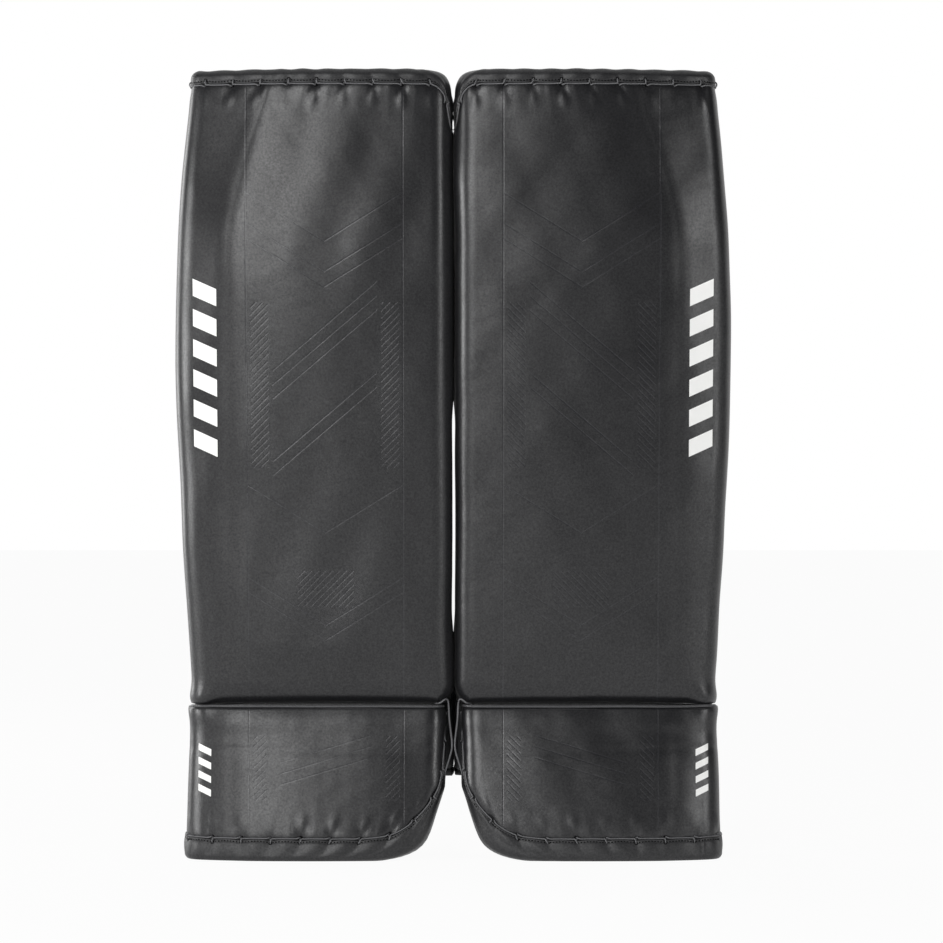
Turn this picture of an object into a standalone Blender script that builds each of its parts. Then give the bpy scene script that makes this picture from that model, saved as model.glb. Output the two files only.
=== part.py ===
"""A pair of ice hockey goalie leg pads, standing upright on their toes.

Frame: metres, +Z up, the faces look towards -Y and +X is the wearer's left.
The origin is on the floor, midway between the pads and midway through their depth.

Both pads come from the same functions. Inside a pad, u is the distance outwards
from its inner edge, so x is side * u in the pad's own frame, where side is -1 for
the wearer's right pad and +1 for the left one.
"""

import math

import bmesh
import bpy
from mathutils import Matrix, Vector

# Driving dimensions of the outline, in metres
PAD_HEIGHT = 0.790          # floor to the top edge
PAD_WIDTH = 0.2775          # at the widest level, the legal 11 inches
WIDEST_LEVEL = 0.500        # height of the widest level
TOP_TAPER = 0.019           # narrower by this at the top edge
TOP_TAPER_POWER = 1.9       # the taper curves in, more towards the top
BREAK_TAPER = 0.0155        # narrower by this just above the boot break
BREAK_TAPER_POWER = 1.4
BOOT_WIDTH = 0.264          # outer edge of the boot at the break
TOE_FLARE = 0.005           # the boot is wider by this at the toe
PAIR_GAP = 0.0055           # between the inner edges of the two pads

# Profile seen from the side
TOE_FRONT = -0.0440         # y of the face line at floor level
BOOT_LEAN = math.radians(6.0)     # the boot leans back going up
SHIN_LEAN = math.radians(7.0)     # the shin leans forward going up
THIGH_LEAN = math.radians(0.0)    # the thigh rise stands upright
BREAK_LEVEL = 0.1546        # height of the boot break, the hinge line
BEND_LEVEL = 0.640          # height where the thigh rise bends back
CORE_DEPTH = 0.058          # face line to the back of the back panel
CROWN = 0.005               # bulge of the face in front of the face line
CROWN_REACH = 0.060         # the bulge grows to its full height over this

# Bevelled outer facet and edge rounding of the face
BEVEL_INSET = 0.0555        # bevel line to the widest outer edge
BEVEL_SLANT = 0.022         # the bevel line moves inwards by this towards the top
BEVEL_START = 0.550         # height where the bevel line starts to slant
BEVEL_DROP = 0.013          # the facet falls back by this
OUTER_ROUND = 0.017         # rounding between facet and outer side wall
INNER_ROUND = 0.012         # rounding between face and inner side wall
EDGE_ROUND = 0.006          # rounding of the top and toe edges
TOP_CORNER = 0.016          # radius of the inner top corner
ROUND_MIDDLE = 0.3          # a rounding's middle point, as a share of its radius
CROWN_STATIONS = (0.0, 0.33, 0.67, 1.0)     # across the face, inner edge to bevel line

# The inner toe corner is cut back and rounded
BOOT_INSET = 0.0063         # boot's inner edge, set back from the shin's
TOE_CUT_HEIGHT = 0.074      # the cut starts at this height
TOE_SLANT = 0.024           # straight part of the cut
TOE_CURL = 0.036            # rounded part, which runs into the floor line
TOE_CURL_POWER = 10

# Skins, board and seams
COVER_THICKNESS = 0.0025    # synthetic leather face and its backing
PANEL_THICKNESS = 0.003     # nylon back panel
BOARD_THICKNESS = 0.003     # stiffener board
TOP_STRIP = 0.015           # top edge down to the laced seam under it
TOE_SEAM = 0.022            # height of the laced seam above the toe edge
SEAT = 0.0003               # clearance between pieces that touch
PIPING_RADIUS = 0.0025
LACE_RADIUS = 0.001
TOP_LACE_DROP = 0.045       # the top lace runs down the inner edge by this

# Leg channel on the back, lateral places as u
INNER_BLOCK_WIDTH = 0.060   # knee and calf landing blocks on the inner side
CALF_BLOCK_DEPTH = 0.060
CALF_BLOCK_DROP = 0.078     # reaches this far below the break, behind the boot
CALF_BLOCK_TOP = 0.310      # along the shin, from the break
CALF_BLOCK_FOOT_DEPTH = 0.042
KNEE_BLOCK_DEPTH = 0.075
KNEE_LOW = 0.335            # knee pieces along the shin, from the break
KNEE_HIGH = 0.468
BLOCK_CHAMFER = 0.008
CRADLE_WIDTH = 0.128
CRADLE_CLEARANCE = 0.008    # between the inner blocks and the cradles
KNEE_CRADLE_THICKNESS = 0.014
KNEE_CRADLE_RIM = 0.034
SHIN_CRADLE_THICKNESS = 0.010
SHIN_CRADLE_RIM = 0.018
SHIN_CRADLE_LOW = 0.070
SHIN_CRADLE_HIGH = 0.300

# Wings and hook-and-loop straps
WING_THICKNESS = 0.010
WING_CLEARANCE = 0.008      # between the cradles and the wings
WING_CORNER = 0.020
CALF_WING_LOW = 0.030
CALF_WING_HIGH = 0.300
STRAP_WIDTH = 0.040
STRAP_THICKNESS = 0.003
STRAP_BOW = 0.010           # the strap bows out behind the leg by this
STRAP_END = 0.008           # the strap stops this far from the inner edge
KNEE_STRAP_LEVEL = 0.402
CALF_STRAP_UPPER_LEVEL = 0.240
CALF_STRAP_LOWER_LEVEL = 0.110

# Boot channel
BOOT_WING_THICKNESS = 0.006
BOOT_WING_DEPTH = 0.062
BOOT_WING_LOW = 0.128       # below the break
BOOT_WING_HIGH = 0.020
BOOT_WING_CORNER = 0.012
BOOT_CHANNEL_START = 0.066  # u of the inner boot wing
BOOT_CHANNEL_END = 0.211    # u of the outer boot wing's outer side

# Boot strap and its side-release buckle, along the strap from the inner wing
WEBBING_WIDTH = 0.025
WEBBING_THICKNESS = 0.0018
BOOT_STRAP_LEVEL = 0.092    # below the break, middle of the webbing
PLUG_THICKNESS = 0.0046
BUCKLE_WALL = 0.0019
BUCKLE_RIM = 0.0030         # the buckle is wider than the webbing by this, each side
PRONG_CLEARANCE = 0.0004
PLUG_PLACE = 0.100          # u of the plug's bar
PLUG_BAR = 0.0040
PLUG_WINDOW = 0.0225
PLUG_SHOULDER = 0.0065
PRONG_LENGTH = 0.0170
PRONG_WIDTH = 0.0042
TONGUE_WIDTH = 0.0050
SOCKET_DEPTH = 0.0190
SOCKET_BRIDGE = 0.0045
SOCKET_SLOT = 0.0045
WEBBING_TURN = 0.014        # length of the webbing's turned-back end
BARB_PLACE = 0.5            # shares of the prong's length and width
BARB_NECK = 0.65
TIP_TAPER = 0.2
TIP_WIDTH = 0.4
TONGUE_REACH = 0.9
CATCH_START = 0.4           # shares of the socket's depth, where the prongs show
CATCH_LENGTH = 0.4

# Toe bridge and toe strap
BRIDGE_WIDTH = 0.060
BRIDGE_HEIGHT = 0.034
BRIDGE_DEPTH = 0.010
BRIDGE_PLACE = 0.138        # u of its middle
BRIDGE_LEVEL = 0.120        # below the break, its middle
BRIDGE_EAR = 0.006          # width and height of the ears beside the strap
TOE_STRAP_LENGTH = 0.050
TOE_STRAP_THICKNESS = 0.003

# Derived places
INNER_EDGE = PAIR_GAP / 2
TOP_SEAM = PAD_HEIGHT - TOP_STRIP
BOOT_TOP = BREAK_LEVEL - PIPING_RADIUS - SEAT
SHIN_BOTTOM = BREAK_LEVEL + PIPING_RADIUS + SEAT
CRADLE_START = INNER_BLOCK_WIDTH + CRADLE_CLEARANCE
WING_INSIDE = CRADLE_START + CRADLE_WIDTH + WING_CLEARANCE
WING_OUTSIDE = WING_INSIDE + WING_THICKNESS


# ---------------------------------------------------------------- materials

def make_material(name, colour, roughness, metallic=0.0):
    """Return a Principled material with one colour."""
    material = bpy.data.materials.new(name)
    material.use_nodes = True
    shader = material.node_tree.nodes["Principled BSDF"]
    shader.inputs["Base Color"].default_value = (*colour, 1.0)
    shader.inputs["Roughness"].default_value = roughness
    shader.inputs["Metallic"].default_value = metallic
    return material


# name: colour, roughness
FINISHES = {
    "leather": ((0.045, 0.046, 0.048), 0.42),
    "wrap": ((0.060, 0.061, 0.063), 0.50),
    "foam": ((0.350, 0.350, 0.340), 0.90),
    "board": ((0.600, 0.600, 0.590), 0.45),
    "nylon": ((0.025, 0.025, 0.027), 0.80),
    "knit": ((0.090, 0.092, 0.096), 0.85),
    "webbing": ((0.018, 0.018, 0.019), 0.70),
    "lace": ((0.012, 0.012, 0.013), 0.60),
    "plastic": ((0.020, 0.020, 0.021), 0.35),
}


def add_object(name, mesh, finish, parent, origin=(0.0, 0.0, 0.0)):
    """Add a mesh whose points are in the parent's frame, turning about origin."""
    mesh.transform(Matrix.Translation(-Vector(origin)))
    piece = bpy.data.objects.new(name, mesh)
    bpy.context.scene.collection.objects.link(piece)
    piece.parent = parent
    piece.location = origin
    colour, roughness = FINISHES[finish]
    piece.data.materials.append(make_material(name + "_" + finish, colour, roughness))
    return piece


def add_empty(name, parent, location, lean=0.0):
    """Add an empty whose Z axis leans forward by lean."""
    empty = bpy.data.objects.new(name, None)
    bpy.context.scene.collection.objects.link(empty)
    empty.parent = parent
    empty.location = location
    empty.rotation_euler = (lean, 0.0, 0.0)
    return empty


# ------------------------------------------------------------ solid builders

def loft(name, rings):
    """Return a closed mesh through rings of equal length, capped at both ends.

    A twisted quad is split from its innermost lower corner, so that nested shells
    bend alike and keep their clearance.
    """
    mesh = bpy.data.meshes.new(name)
    bm = bmesh.new()
    loops = [[bm.verts.new(point) for point in ring] for ring in rings]
    for lower, upper in zip(loops, loops[1:]):
        for i in range(len(lower)):
            j = (i + 1) % len(lower)
            if outwards(lower[i].co) < outwards(lower[j].co):
                bm.faces.new((lower[i], lower[j], upper[j]))
                bm.faces.new((lower[i], upper[j], upper[i]))
            else:
                bm.faces.new((lower[i], lower[j], upper[i]))
                bm.faces.new((lower[j], upper[j], upper[i]))
    bm.faces.new(list(reversed(loops[0])))
    bm.faces.new(loops[-1])
    bmesh.ops.recalc_face_normals(bm, faces=bm.faces)
    bm.to_mesh(mesh)
    bm.free()
    return mesh


def outwards(point):
    """Order points across a pad from its inner edge, and front to back where level."""
    return abs(point.x) + 0.01 * point.y


def prism(name, side, outline, low, high):
    """Extrude an outline of (u, y) points between two levels."""
    rings = [[(side * u, y, z) for u, y in outline] for z in (low, high)]
    return loft(name, rings)


def plate(name, side, outline, near, far):
    """Extrude an outline of (y, z) points between two places across the pad."""
    rings = [[(side * u, y, z) for y, z in outline] for u in (near, far)]
    return loft(name, rings)


def offset_path(path, distance):
    """Shift an open path to its left by distance, mitred at its corners."""
    points = [Vector(p) for p in path]
    normals = []
    for a, b in zip(points, points[1:]):
        along = (b - a).normalized()
        normals.append(Vector((-along.y, along.x)))
    shifted = []
    for i, point in enumerate(points):
        before = normals[max(i - 1, 0)]
        after = normals[min(i, len(normals) - 1)]
        mitre = (before + after).normalized()
        reach = distance / max(mitre.dot(after), 0.5)
        shifted.append(tuple(point + mitre * reach))
    return shifted


def ribbon(path, thickness):
    """Return the outline of a band of even thickness centred on a path."""
    left = offset_path(path, thickness / 2)
    right = offset_path(path, -thickness / 2)
    return left + right[::-1]


def tube(name, points, radius, finish, parent):
    """Add a round cord or piping along points in the parent's frame."""
    curve = bpy.data.curves.new(name, "CURVE")
    curve.dimensions = "3D"
    curve.bevel_depth = radius
    curve.bevel_resolution = 2
    curve.use_fill_caps = True
    spline = curve.splines.new("POLY")
    spline.points.add(len(points) - 1)
    for slot, point in zip(spline.points, points):
        slot.co = (*point, 1.0)
    piece = bpy.data.objects.new(name, curve)
    bpy.context.scene.collection.objects.link(piece)
    piece.parent = parent
    colour, roughness = FINISHES[finish]
    curve.materials.append(make_material(name + "_" + finish, colour, roughness))
    return piece


def cut(piece, cutters, origin=(0.0, 0.0, 0.0)):
    """Cut boxes, given as low and high corners in the frame that holds the piece."""
    for number, (low, high) in enumerate(cutters):
        corners = [Vector(low) - Vector(origin), Vector(high) - Vector(origin)]
        xs = [c.x for c in corners]
        ys = [c.y for c in corners]
        outline = [(xs[0], ys[0]), (xs[1], ys[0]), (xs[1], ys[1]), (xs[0], ys[1])]
        rings = [[(x, y, c.z) for x, y in outline] for c in corners]
        name = f"{piece.name}_cutter_{number}"
        cutter = bpy.data.objects.new(name, loft(name, rings))
        bpy.context.scene.collection.objects.link(cutter)
        cutter.parent = piece
        cutter.hide_render = True
        cutter.display_type = "WIRE"
        boolean = piece.modifiers.new(name, "BOOLEAN")
        boolean.operation = "DIFFERENCE"
        boolean.object = cutter


# ------------------------------------------------------- shape of a pad core

def steps(start, end, count):
    """Return count + 1 evenly spaced values from start to end."""
    return [start + (end - start) * i / count for i in range(count + 1)]


def face_line(z):
    """Return the y of the face line at a height."""
    y = TOE_FRONT + min(z, BREAK_LEVEL) * math.tan(BOOT_LEAN)
    y -= max(min(z, BEND_LEVEL) - BREAK_LEVEL, 0.0) * math.tan(SHIN_LEAN)
    return y - max(z - BEND_LEVEL, 0.0) * math.tan(THIGH_LEAN)


def outer_edge(z):
    """Return u of the outer edge at a height."""
    if z < BREAK_LEVEL:
        return BOOT_WIDTH + TOE_FLARE * (1 - z / BREAK_LEVEL)
    if z < WIDEST_LEVEL:
        t = (WIDEST_LEVEL - z) / (WIDEST_LEVEL - BREAK_LEVEL)
        return PAD_WIDTH - BREAK_TAPER * t ** BREAK_TAPER_POWER
    t = (z - WIDEST_LEVEL) / (PAD_HEIGHT - WIDEST_LEVEL)
    return PAD_WIDTH - TOP_TAPER * t ** TOP_TAPER_POWER


def inner_edge(z):
    """Return u of the inner edge at a height."""
    if z < BREAK_LEVEL:
        t = max(1 - z / TOE_CUT_HEIGHT, 0.0)
        return BOOT_INSET + TOE_SLANT * t + TOE_CURL * t ** TOE_CURL_POWER
    rise = min(max(z - (PAD_HEIGHT - TOP_CORNER), 0.0), TOP_CORNER)
    return TOP_CORNER - math.sqrt(TOP_CORNER ** 2 - rise ** 2)


def crown(z):
    """Return how far the face bulges at a height; the break is pinched flat."""
    return CROWN * min(abs(z - BREAK_LEVEL) / CROWN_REACH, 1.0)


def bevel_line(z):
    """Return u of the line where the outer facet starts."""
    t = max(z - BEVEL_START, 0.0) / (PAD_HEIGHT - BEVEL_START)
    return PAD_WIDTH - BEVEL_INSET - BEVEL_SLANT * t


def face_path(z, back):
    """Return (u, y) points round the front, from inner back edge to outer back edge."""
    inner = inner_edge(z)
    outer = outer_edge(z)
    bevel = bevel_line(z)
    path = [(inner, back), (inner, INNER_ROUND)]
    path.append((inner + ROUND_MIDDLE * INNER_ROUND, ROUND_MIDDLE * INNER_ROUND))
    start = inner + INNER_ROUND
    for t in CROWN_STATIONS:
        path.append((start + (bevel - start) * t, -crown(z) * 4 * t * (1 - t)))
    path.append((outer - OUTER_ROUND, BEVEL_DROP))
    kink = ROUND_MIDDLE * OUTER_ROUND
    path.append((outer - kink, BEVEL_DROP + kink))
    path.append((outer, BEVEL_DROP + OUTER_ROUND))
    path.append((outer, back))
    return path


def core_loop(z, inset, back=CORE_DEPTH):
    """Return the closed (u, y) loop of the core, inset from its faces and its back."""
    back = min(back, CORE_DEPTH - inset)
    return [(u, min(y, back)) for u, y in offset_path(face_path(z, CORE_DEPTH), inset)]


def ring(side, z, loop):
    """Place a (u, y) loop at a height, behind the face line there."""
    return [(side * u, face_line(z) + y, z) for u, y in loop]


def cover_ring(side, z):
    """Return the C-shaped ring of a cover: face and both side walls."""
    back = CORE_DEPTH - PANEL_THICKNESS - SEAT
    path = face_path(z, back)
    lining = offset_path(path, COVER_THICKNESS)
    return ring(side, z, path + lining[::-1])


def slab_ring(side, z, inset, front, back):
    """Return a flat slab's ring across the core, between two depths."""
    near = inner_edge(z) + inset
    far = outer_edge(z) - inset
    return ring(side, z, [(near, front), (far, front), (far, back), (near, back)])


SHIN_LEVELS = steps(SHIN_BOTTOM, BEND_LEVEL, 6) + steps(BEND_LEVEL, TOP_SEAM - SEAT / 2, 3)[1:]
BOOT_LEVELS = steps(TOE_SEAM + SEAT / 2, TOE_CUT_HEIGHT, 3) + steps(TOE_CUT_HEIGHT, BOOT_TOP, 2)[1:]
FOAM_INSET = COVER_THICKNESS + SEAT
BOARD_BACK = CORE_DEPTH - PANEL_THICKNESS - SEAT
FOAM_BACK = BOARD_BACK - BOARD_THICKNESS - SEAT


def edge_wrap_rings(side, seam, end):
    """Return rings of a tray-shaped wrap: ceiling, lining, rim, wall and rounded edge."""
    way = 1 if end > seam else -1
    rim = seam + way * SEAT / 2
    ceiling = end - way * COVER_THICKNESS
    straight = end - way * EDGE_ROUND
    middle = (rim + straight) / 2
    levels = [
        (ceiling, EDGE_ROUND + 0.5 * COVER_THICKNESS),
        (straight, COVER_THICKNESS),
        (middle, COVER_THICKNESS),
        (rim, COVER_THICKNESS),
        (rim, 0.0),
        (middle, 0.0),
        (straight, 0.0),
        (end - way * ROUND_MIDDLE * EDGE_ROUND, ROUND_MIDDLE * EDGE_ROUND),
        (end, EDGE_ROUND),
    ]
    return [ring(side, z, core_loop(z, inset)) for z, inset in levels]


def add_upper(prefix, side, pad):
    """Add the shin and thigh: cover, foam, board, back panel, top wrap and lace."""
    rings = [cover_ring(side, z) for z in SHIN_LEVELS]
    add_object(prefix + "face_cover", loft("face_cover", rings), "leather", pad)

    straight = PAD_HEIGHT - EDGE_ROUND
    levels = [(z, FOAM_INSET) for z in SHIN_LEVELS]
    levels.append(((TOP_SEAM + SEAT / 2 + straight) / 2, FOAM_INSET))
    levels.append((straight, FOAM_INSET))
    levels.append((PAD_HEIGHT - FOAM_INSET, FOAM_INSET + EDGE_ROUND))
    rings = [ring(side, z, core_loop(z, inset, FOAM_BACK)) for z, inset in levels]
    add_object(prefix + "foam_core", loft("foam_core", rings), "foam", pad)

    front = BOARD_BACK - BOARD_THICKNESS
    rings = [slab_ring(side, z, FOAM_INSET, front, BOARD_BACK) for z in SHIN_LEVELS]
    add_object(prefix + "stiffener_board", loft("stiffener_board", rings), "board", pad)

    front = CORE_DEPTH - PANEL_THICKNESS
    rings = [slab_ring(side, z, 0.0, front, CORE_DEPTH) for z in SHIN_LEVELS]
    add_object(prefix + "back_panel", loft("back_panel", rings), "nylon", pad)

    rings = edge_wrap_rings(side, TOP_SEAM, PAD_HEIGHT)
    add_object(prefix + "top_wrap", loft("top_wrap", rings), "wrap", pad)

    foot = TOP_SEAM - TOP_LACE_DROP
    points = seam_path(side, TOP_SEAM) + inner_edge_path(side, [TOP_SEAM, foot])[1:]
    tube(prefix + "top_lace", points, LACE_RADIUS, "lace", pad)


def seam_path(side, z):
    """Return points of a lace lying on a seam, from the outer edge to the inner one."""
    path = offset_path(face_path(z, CORE_DEPTH)[1:-1], -LACE_RADIUS - SEAT)
    return ring(side, z, path[::-1])


def inner_edge_path(side, levels):
    """Return points of a lace lying on the inner edge at some heights."""
    points = []
    for z in levels:
        slope = (inner_edge(z - SEAT) - inner_edge(z + SEAT)) / (2 * SEAT)
        lift = (LACE_RADIUS + SEAT) * math.hypot(1.0, slope)
        points += ring(side, z, [(inner_edge(z) - lift, INNER_ROUND)])
    return points


def add_boot(prefix, side, boot, hinge):
    """Add the boot: cover, foam, back panel, toe wrap, piping and toe lace."""
    def add(name, rings, finish):
        mesh = loft(name, rings)
        mesh.transform(Matrix.Translation(-hinge))
        add_object(prefix + name, mesh, finish, boot)

    add("boot_cover", [cover_ring(side, z) for z in BOOT_LEVELS], "leather")

    levels = [(FOAM_INSET, FOAM_INSET + EDGE_ROUND), (EDGE_ROUND, FOAM_INSET)]
    levels.append(((EDGE_ROUND + TOE_SEAM - SEAT / 2) / 2, FOAM_INSET))
    levels += [(z, FOAM_INSET) for z in BOOT_LEVELS]
    rings = [ring(side, z, core_loop(z, inset, BOARD_BACK)) for z, inset in levels]
    add("boot_foam", rings, "foam")

    front = CORE_DEPTH - PANEL_THICKNESS
    rings = [slab_ring(side, z, 0.0, front, CORE_DEPTH) for z in BOOT_LEVELS]
    add("boot_back_panel", rings, "nylon")

    add("toe_wrap", edge_wrap_rings(side, TOE_SEAM, 0.0), "wrap")

    ends = [INNER_ROUND, bevel_line(BREAK_LEVEL)]
    points = [(side * u, 0.0, 0.0) for u in ends]
    tube(prefix + "boot_piping", points, PIPING_RADIUS, "leather", boot)

    heights = [z for z in BOOT_LEVELS if z < BOOT_TOP - EDGE_ROUND]
    heights.append(BOOT_TOP - EDGE_ROUND)
    points = seam_path(side, TOE_SEAM) + inner_edge_path(side, heights)
    points = [Vector(point) - hinge for point in points]
    tube(prefix + "toe_lace", points, LACE_RADIUS, "lace", boot)


# ------------------------------------------------------ leg channel, at the back

def block_ring(side, z, depth):
    """Return a landing block's ring: flat against the pad, chamfered at the rear."""
    near, far, front = 0.0, INNER_BLOCK_WIDTH, SEAT
    outline = [(near, front), (far, front), (far, depth - BLOCK_CHAMFER)]
    outline += [(far - BLOCK_CHAMFER, depth), (near + BLOCK_CHAMFER, depth)]
    outline.append((near, depth - BLOCK_CHAMFER))
    return [(side * u, y, z) for u, y in outline]


def add_landing_blocks(prefix, side, shin):
    """Add the knee and calf landing blocks of the inner side."""
    levels = [
        (-CALF_BLOCK_DROP, CALF_BLOCK_FOOT_DEPTH - BLOCK_CHAMFER),
        (-CALF_BLOCK_DROP + BLOCK_CHAMFER, CALF_BLOCK_FOOT_DEPTH),
        (CALF_STRAP_LOWER_LEVEL - STRAP_WIDTH, CALF_BLOCK_DEPTH),
        (CALF_BLOCK_TOP - BLOCK_CHAMFER, CALF_BLOCK_DEPTH),
        (CALF_BLOCK_TOP, CALF_BLOCK_DEPTH - BLOCK_CHAMFER),
    ]
    rings = [block_ring(side, z, depth) for z, depth in levels]
    add_object(prefix + "calf_block", loft("calf_block", rings), "knit", shin)

    levels = [
        (KNEE_LOW, KNEE_BLOCK_DEPTH - BLOCK_CHAMFER),
        (KNEE_LOW + BLOCK_CHAMFER, KNEE_BLOCK_DEPTH),
        (KNEE_HIGH - BLOCK_CHAMFER, KNEE_BLOCK_DEPTH),
        (KNEE_HIGH, KNEE_BLOCK_DEPTH - BLOCK_CHAMFER),
    ]
    rings = [block_ring(side, z, depth) for z, depth in levels]
    add_object(prefix + "knee_block", loft("knee_block", rings), "knit", shin)


def cradle(name, side, thickness, rim, low, high):
    """Return a cushion dished to hold the leg, flat against the pad."""
    middle = CRADLE_START + CRADLE_WIDTH / 2
    outline = [(middle - CRADLE_WIDTH / 2, SEAT), (middle + CRADLE_WIDTH / 2, SEAT)]
    for t in steps(1.0, -1.0, 10):
        depth = thickness + (rim - thickness) * t * t
        outline.append((middle + t * CRADLE_WIDTH / 2, depth))
    return prism(name, side, outline, low, high)


def wing_outline(low, high, depth, corner):
    """Return a wing's outline in (y, z), with rounded rear corners."""
    outline = [(SEAT, high), (SEAT, low)]
    for middle, start in ((low + corner, -90), (high - corner, 0)):
        for angle in steps(start, start + 90, 4):
            turn = math.radians(angle)
            y = depth - corner + corner * math.cos(turn)
            outline.append((y, middle + corner * math.sin(turn)))
    return outline


def wing(name, side, low, high, depth):
    """Return an outer wing, standing between its inner and outer sides."""
    outline = wing_outline(low, high, depth, WING_CORNER)
    return plate(name, side, outline, WING_INSIDE, WING_OUTSIDE)


def strap(name, side, level, depth):
    """Return a strap lying on the wing's rear edge and the landing block's back."""
    seat = depth + SEAT + STRAP_THICKNESS / 2
    path = [(WING_OUTSIDE, seat), (WING_INSIDE, seat)]
    span = WING_INSIDE - INNER_BLOCK_WIDTH
    for t in steps(0.0, 1.0, 6)[1:-1]:
        path.append((WING_INSIDE - span * t, seat + STRAP_BOW * 4 * t * (1 - t)))
    path += [(INNER_BLOCK_WIDTH, seat), (STRAP_END, seat)]
    outline = ribbon(path, STRAP_THICKNESS)
    return prism(name, side, outline, level - STRAP_WIDTH / 2, level + STRAP_WIDTH / 2)


def add_leg_channel(prefix, side, shin):
    """Add the blocks, cradles, wings and straps that hold the leg."""
    add_landing_blocks(prefix, side, shin)
    mesh = cradle("knee_cradle", side, KNEE_CRADLE_THICKNESS, KNEE_CRADLE_RIM,
                  KNEE_LOW, KNEE_HIGH)
    add_object(prefix + "knee_cradle", mesh, "knit", shin)
    mesh = cradle("shin_cradle", side, SHIN_CRADLE_THICKNESS, SHIN_CRADLE_RIM,
                  SHIN_CRADLE_LOW, SHIN_CRADLE_HIGH)
    add_object(prefix + "shin_cradle", mesh, "knit", shin)

    root = (side * WING_OUTSIDE, SEAT)
    mesh = wing("knee_wing", side, KNEE_LOW, KNEE_HIGH, KNEE_BLOCK_DEPTH)
    add_object(prefix + "knee_wing", mesh, "nylon", shin, (*root, KNEE_LOW))
    mesh = wing("calf_wing", side, CALF_WING_LOW, CALF_WING_HIGH, CALF_BLOCK_DEPTH)
    add_object(prefix + "calf_wing", mesh, "nylon", shin, (*root, CALF_WING_LOW))

    straps = {
        "knee_strap": (KNEE_STRAP_LEVEL, KNEE_BLOCK_DEPTH),
        "calf_strap_upper": (CALF_STRAP_UPPER_LEVEL, CALF_BLOCK_DEPTH),
        "calf_strap_lower": (CALF_STRAP_LOWER_LEVEL, CALF_BLOCK_DEPTH),
    }
    for name, (level, depth) in straps.items():
        mesh = strap(name, side, level, depth)
        origin = (side * WING_OUTSIDE, depth + SEAT, level)
        add_object(prefix + name, mesh, "webbing", shin, origin)


# --------------------------------------------------------------- boot channel

WEBBING_LAY = BOOT_WING_DEPTH + SEAT + WEBBING_THICKNESS / 2
BUCKLE_LAY = WEBBING_LAY + WEBBING_THICKNESS / 2 + SEAT
TURN_LAY = BUCKLE_LAY + PLUG_THICKNESS + SEAT + WEBBING_THICKNESS / 2
PLUG_END = PLUG_PLACE + PLUG_BAR + PLUG_WINDOW + PLUG_SHOULDER
SOCKET_START = PLUG_END + SEAT
SOCKET_NECK = SOCKET_START + SOCKET_DEPTH + SOCKET_BRIDGE
SOCKET_END = SOCKET_NECK + SOCKET_SLOT + PLUG_BAR
BUCKLE_HALF = WEBBING_WIDTH / 2 + BUCKLE_RIM
CAVITY_HALF = BUCKLE_HALF - BUCKLE_WALL
PRONG_HALF = CAVITY_HALF - PRONG_CLEARANCE


def webbing(name, side, anchor, bar, way):
    """Return a webbing that lies on a wing, turns round a bar and folds back."""
    turn = bar + way * (SEAT + WEBBING_THICKNESS / 2)
    path = [(anchor, WEBBING_LAY), (turn, WEBBING_LAY), (turn, TURN_LAY)]
    path.append((turn - way * WEBBING_TURN, TURN_LAY))
    low = -BOOT_STRAP_LEVEL - WEBBING_WIDTH / 2
    return prism(name, side, ribbon(path, WEBBING_THICKNESS), low, low + WEBBING_WIDTH)


def plug_mesh(side):
    """Return the buckle's plug: bar, shoulder, two barbed prongs and a tongue."""
    tip = PLUG_END + PRONG_LENGTH
    barb = PLUG_END + BARB_PLACE * PRONG_LENGTH
    inside = PRONG_HALF - PRONG_WIDTH
    half = [
        (PLUG_PLACE, BUCKLE_HALF),
        (PLUG_END, BUCKLE_HALF),
        (PLUG_END, inside + BARB_NECK * PRONG_WIDTH),
        (barb, inside + BARB_NECK * PRONG_WIDTH),
        (barb, PRONG_HALF),
        (tip - TIP_TAPER * PRONG_LENGTH, PRONG_HALF),
        (tip, inside + TIP_WIDTH * PRONG_WIDTH),
        (tip, inside),
        (PLUG_END, inside),
        (PLUG_END, TONGUE_WIDTH / 2),
        (PLUG_END + TONGUE_REACH * PRONG_LENGTH, TONGUE_WIDTH / 2),
    ]
    outline = half + [(u, -z) for u, z in reversed(half)]
    rings = []
    for y in (BUCKLE_LAY, BUCKLE_LAY + PLUG_THICKNESS):
        rings.append([(side * u, y, z - BOOT_STRAP_LEVEL) for u, z in outline])
    return loft("boot_buckle_plug", rings)


def box_across(side, start, end, front, back, half):
    """Return the corners of a cutting box centred on the boot strap."""
    xs = sorted((side * start, side * end))
    low = (xs[0], front, -BOOT_STRAP_LEVEL - half)
    return low, (xs[1], back, -BOOT_STRAP_LEVEL + half)


def socket_mesh(side):
    """Return the buckle's socket before its cavity and slots are cut."""
    front = BUCKLE_LAY - SEAT - BUCKLE_WALL
    back = BUCKLE_LAY + PLUG_THICKNESS + SEAT + BUCKLE_WALL
    neck = SOCKET_NECK - SOCKET_BRIDGE / 2
    outline = [
        (SOCKET_START, front),
        (neck, front),
        (SOCKET_NECK, BUCKLE_LAY),
        (SOCKET_END, BUCKLE_LAY),
        (SOCKET_END, BUCKLE_LAY + PLUG_THICKNESS),
        (SOCKET_NECK, BUCKLE_LAY + PLUG_THICKNESS),
        (neck, back),
        (SOCKET_START, back),
    ]
    low = -BOOT_STRAP_LEVEL - BUCKLE_HALF
    return prism("boot_buckle_socket", side, outline, low, low + 2 * BUCKLE_HALF)


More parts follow.
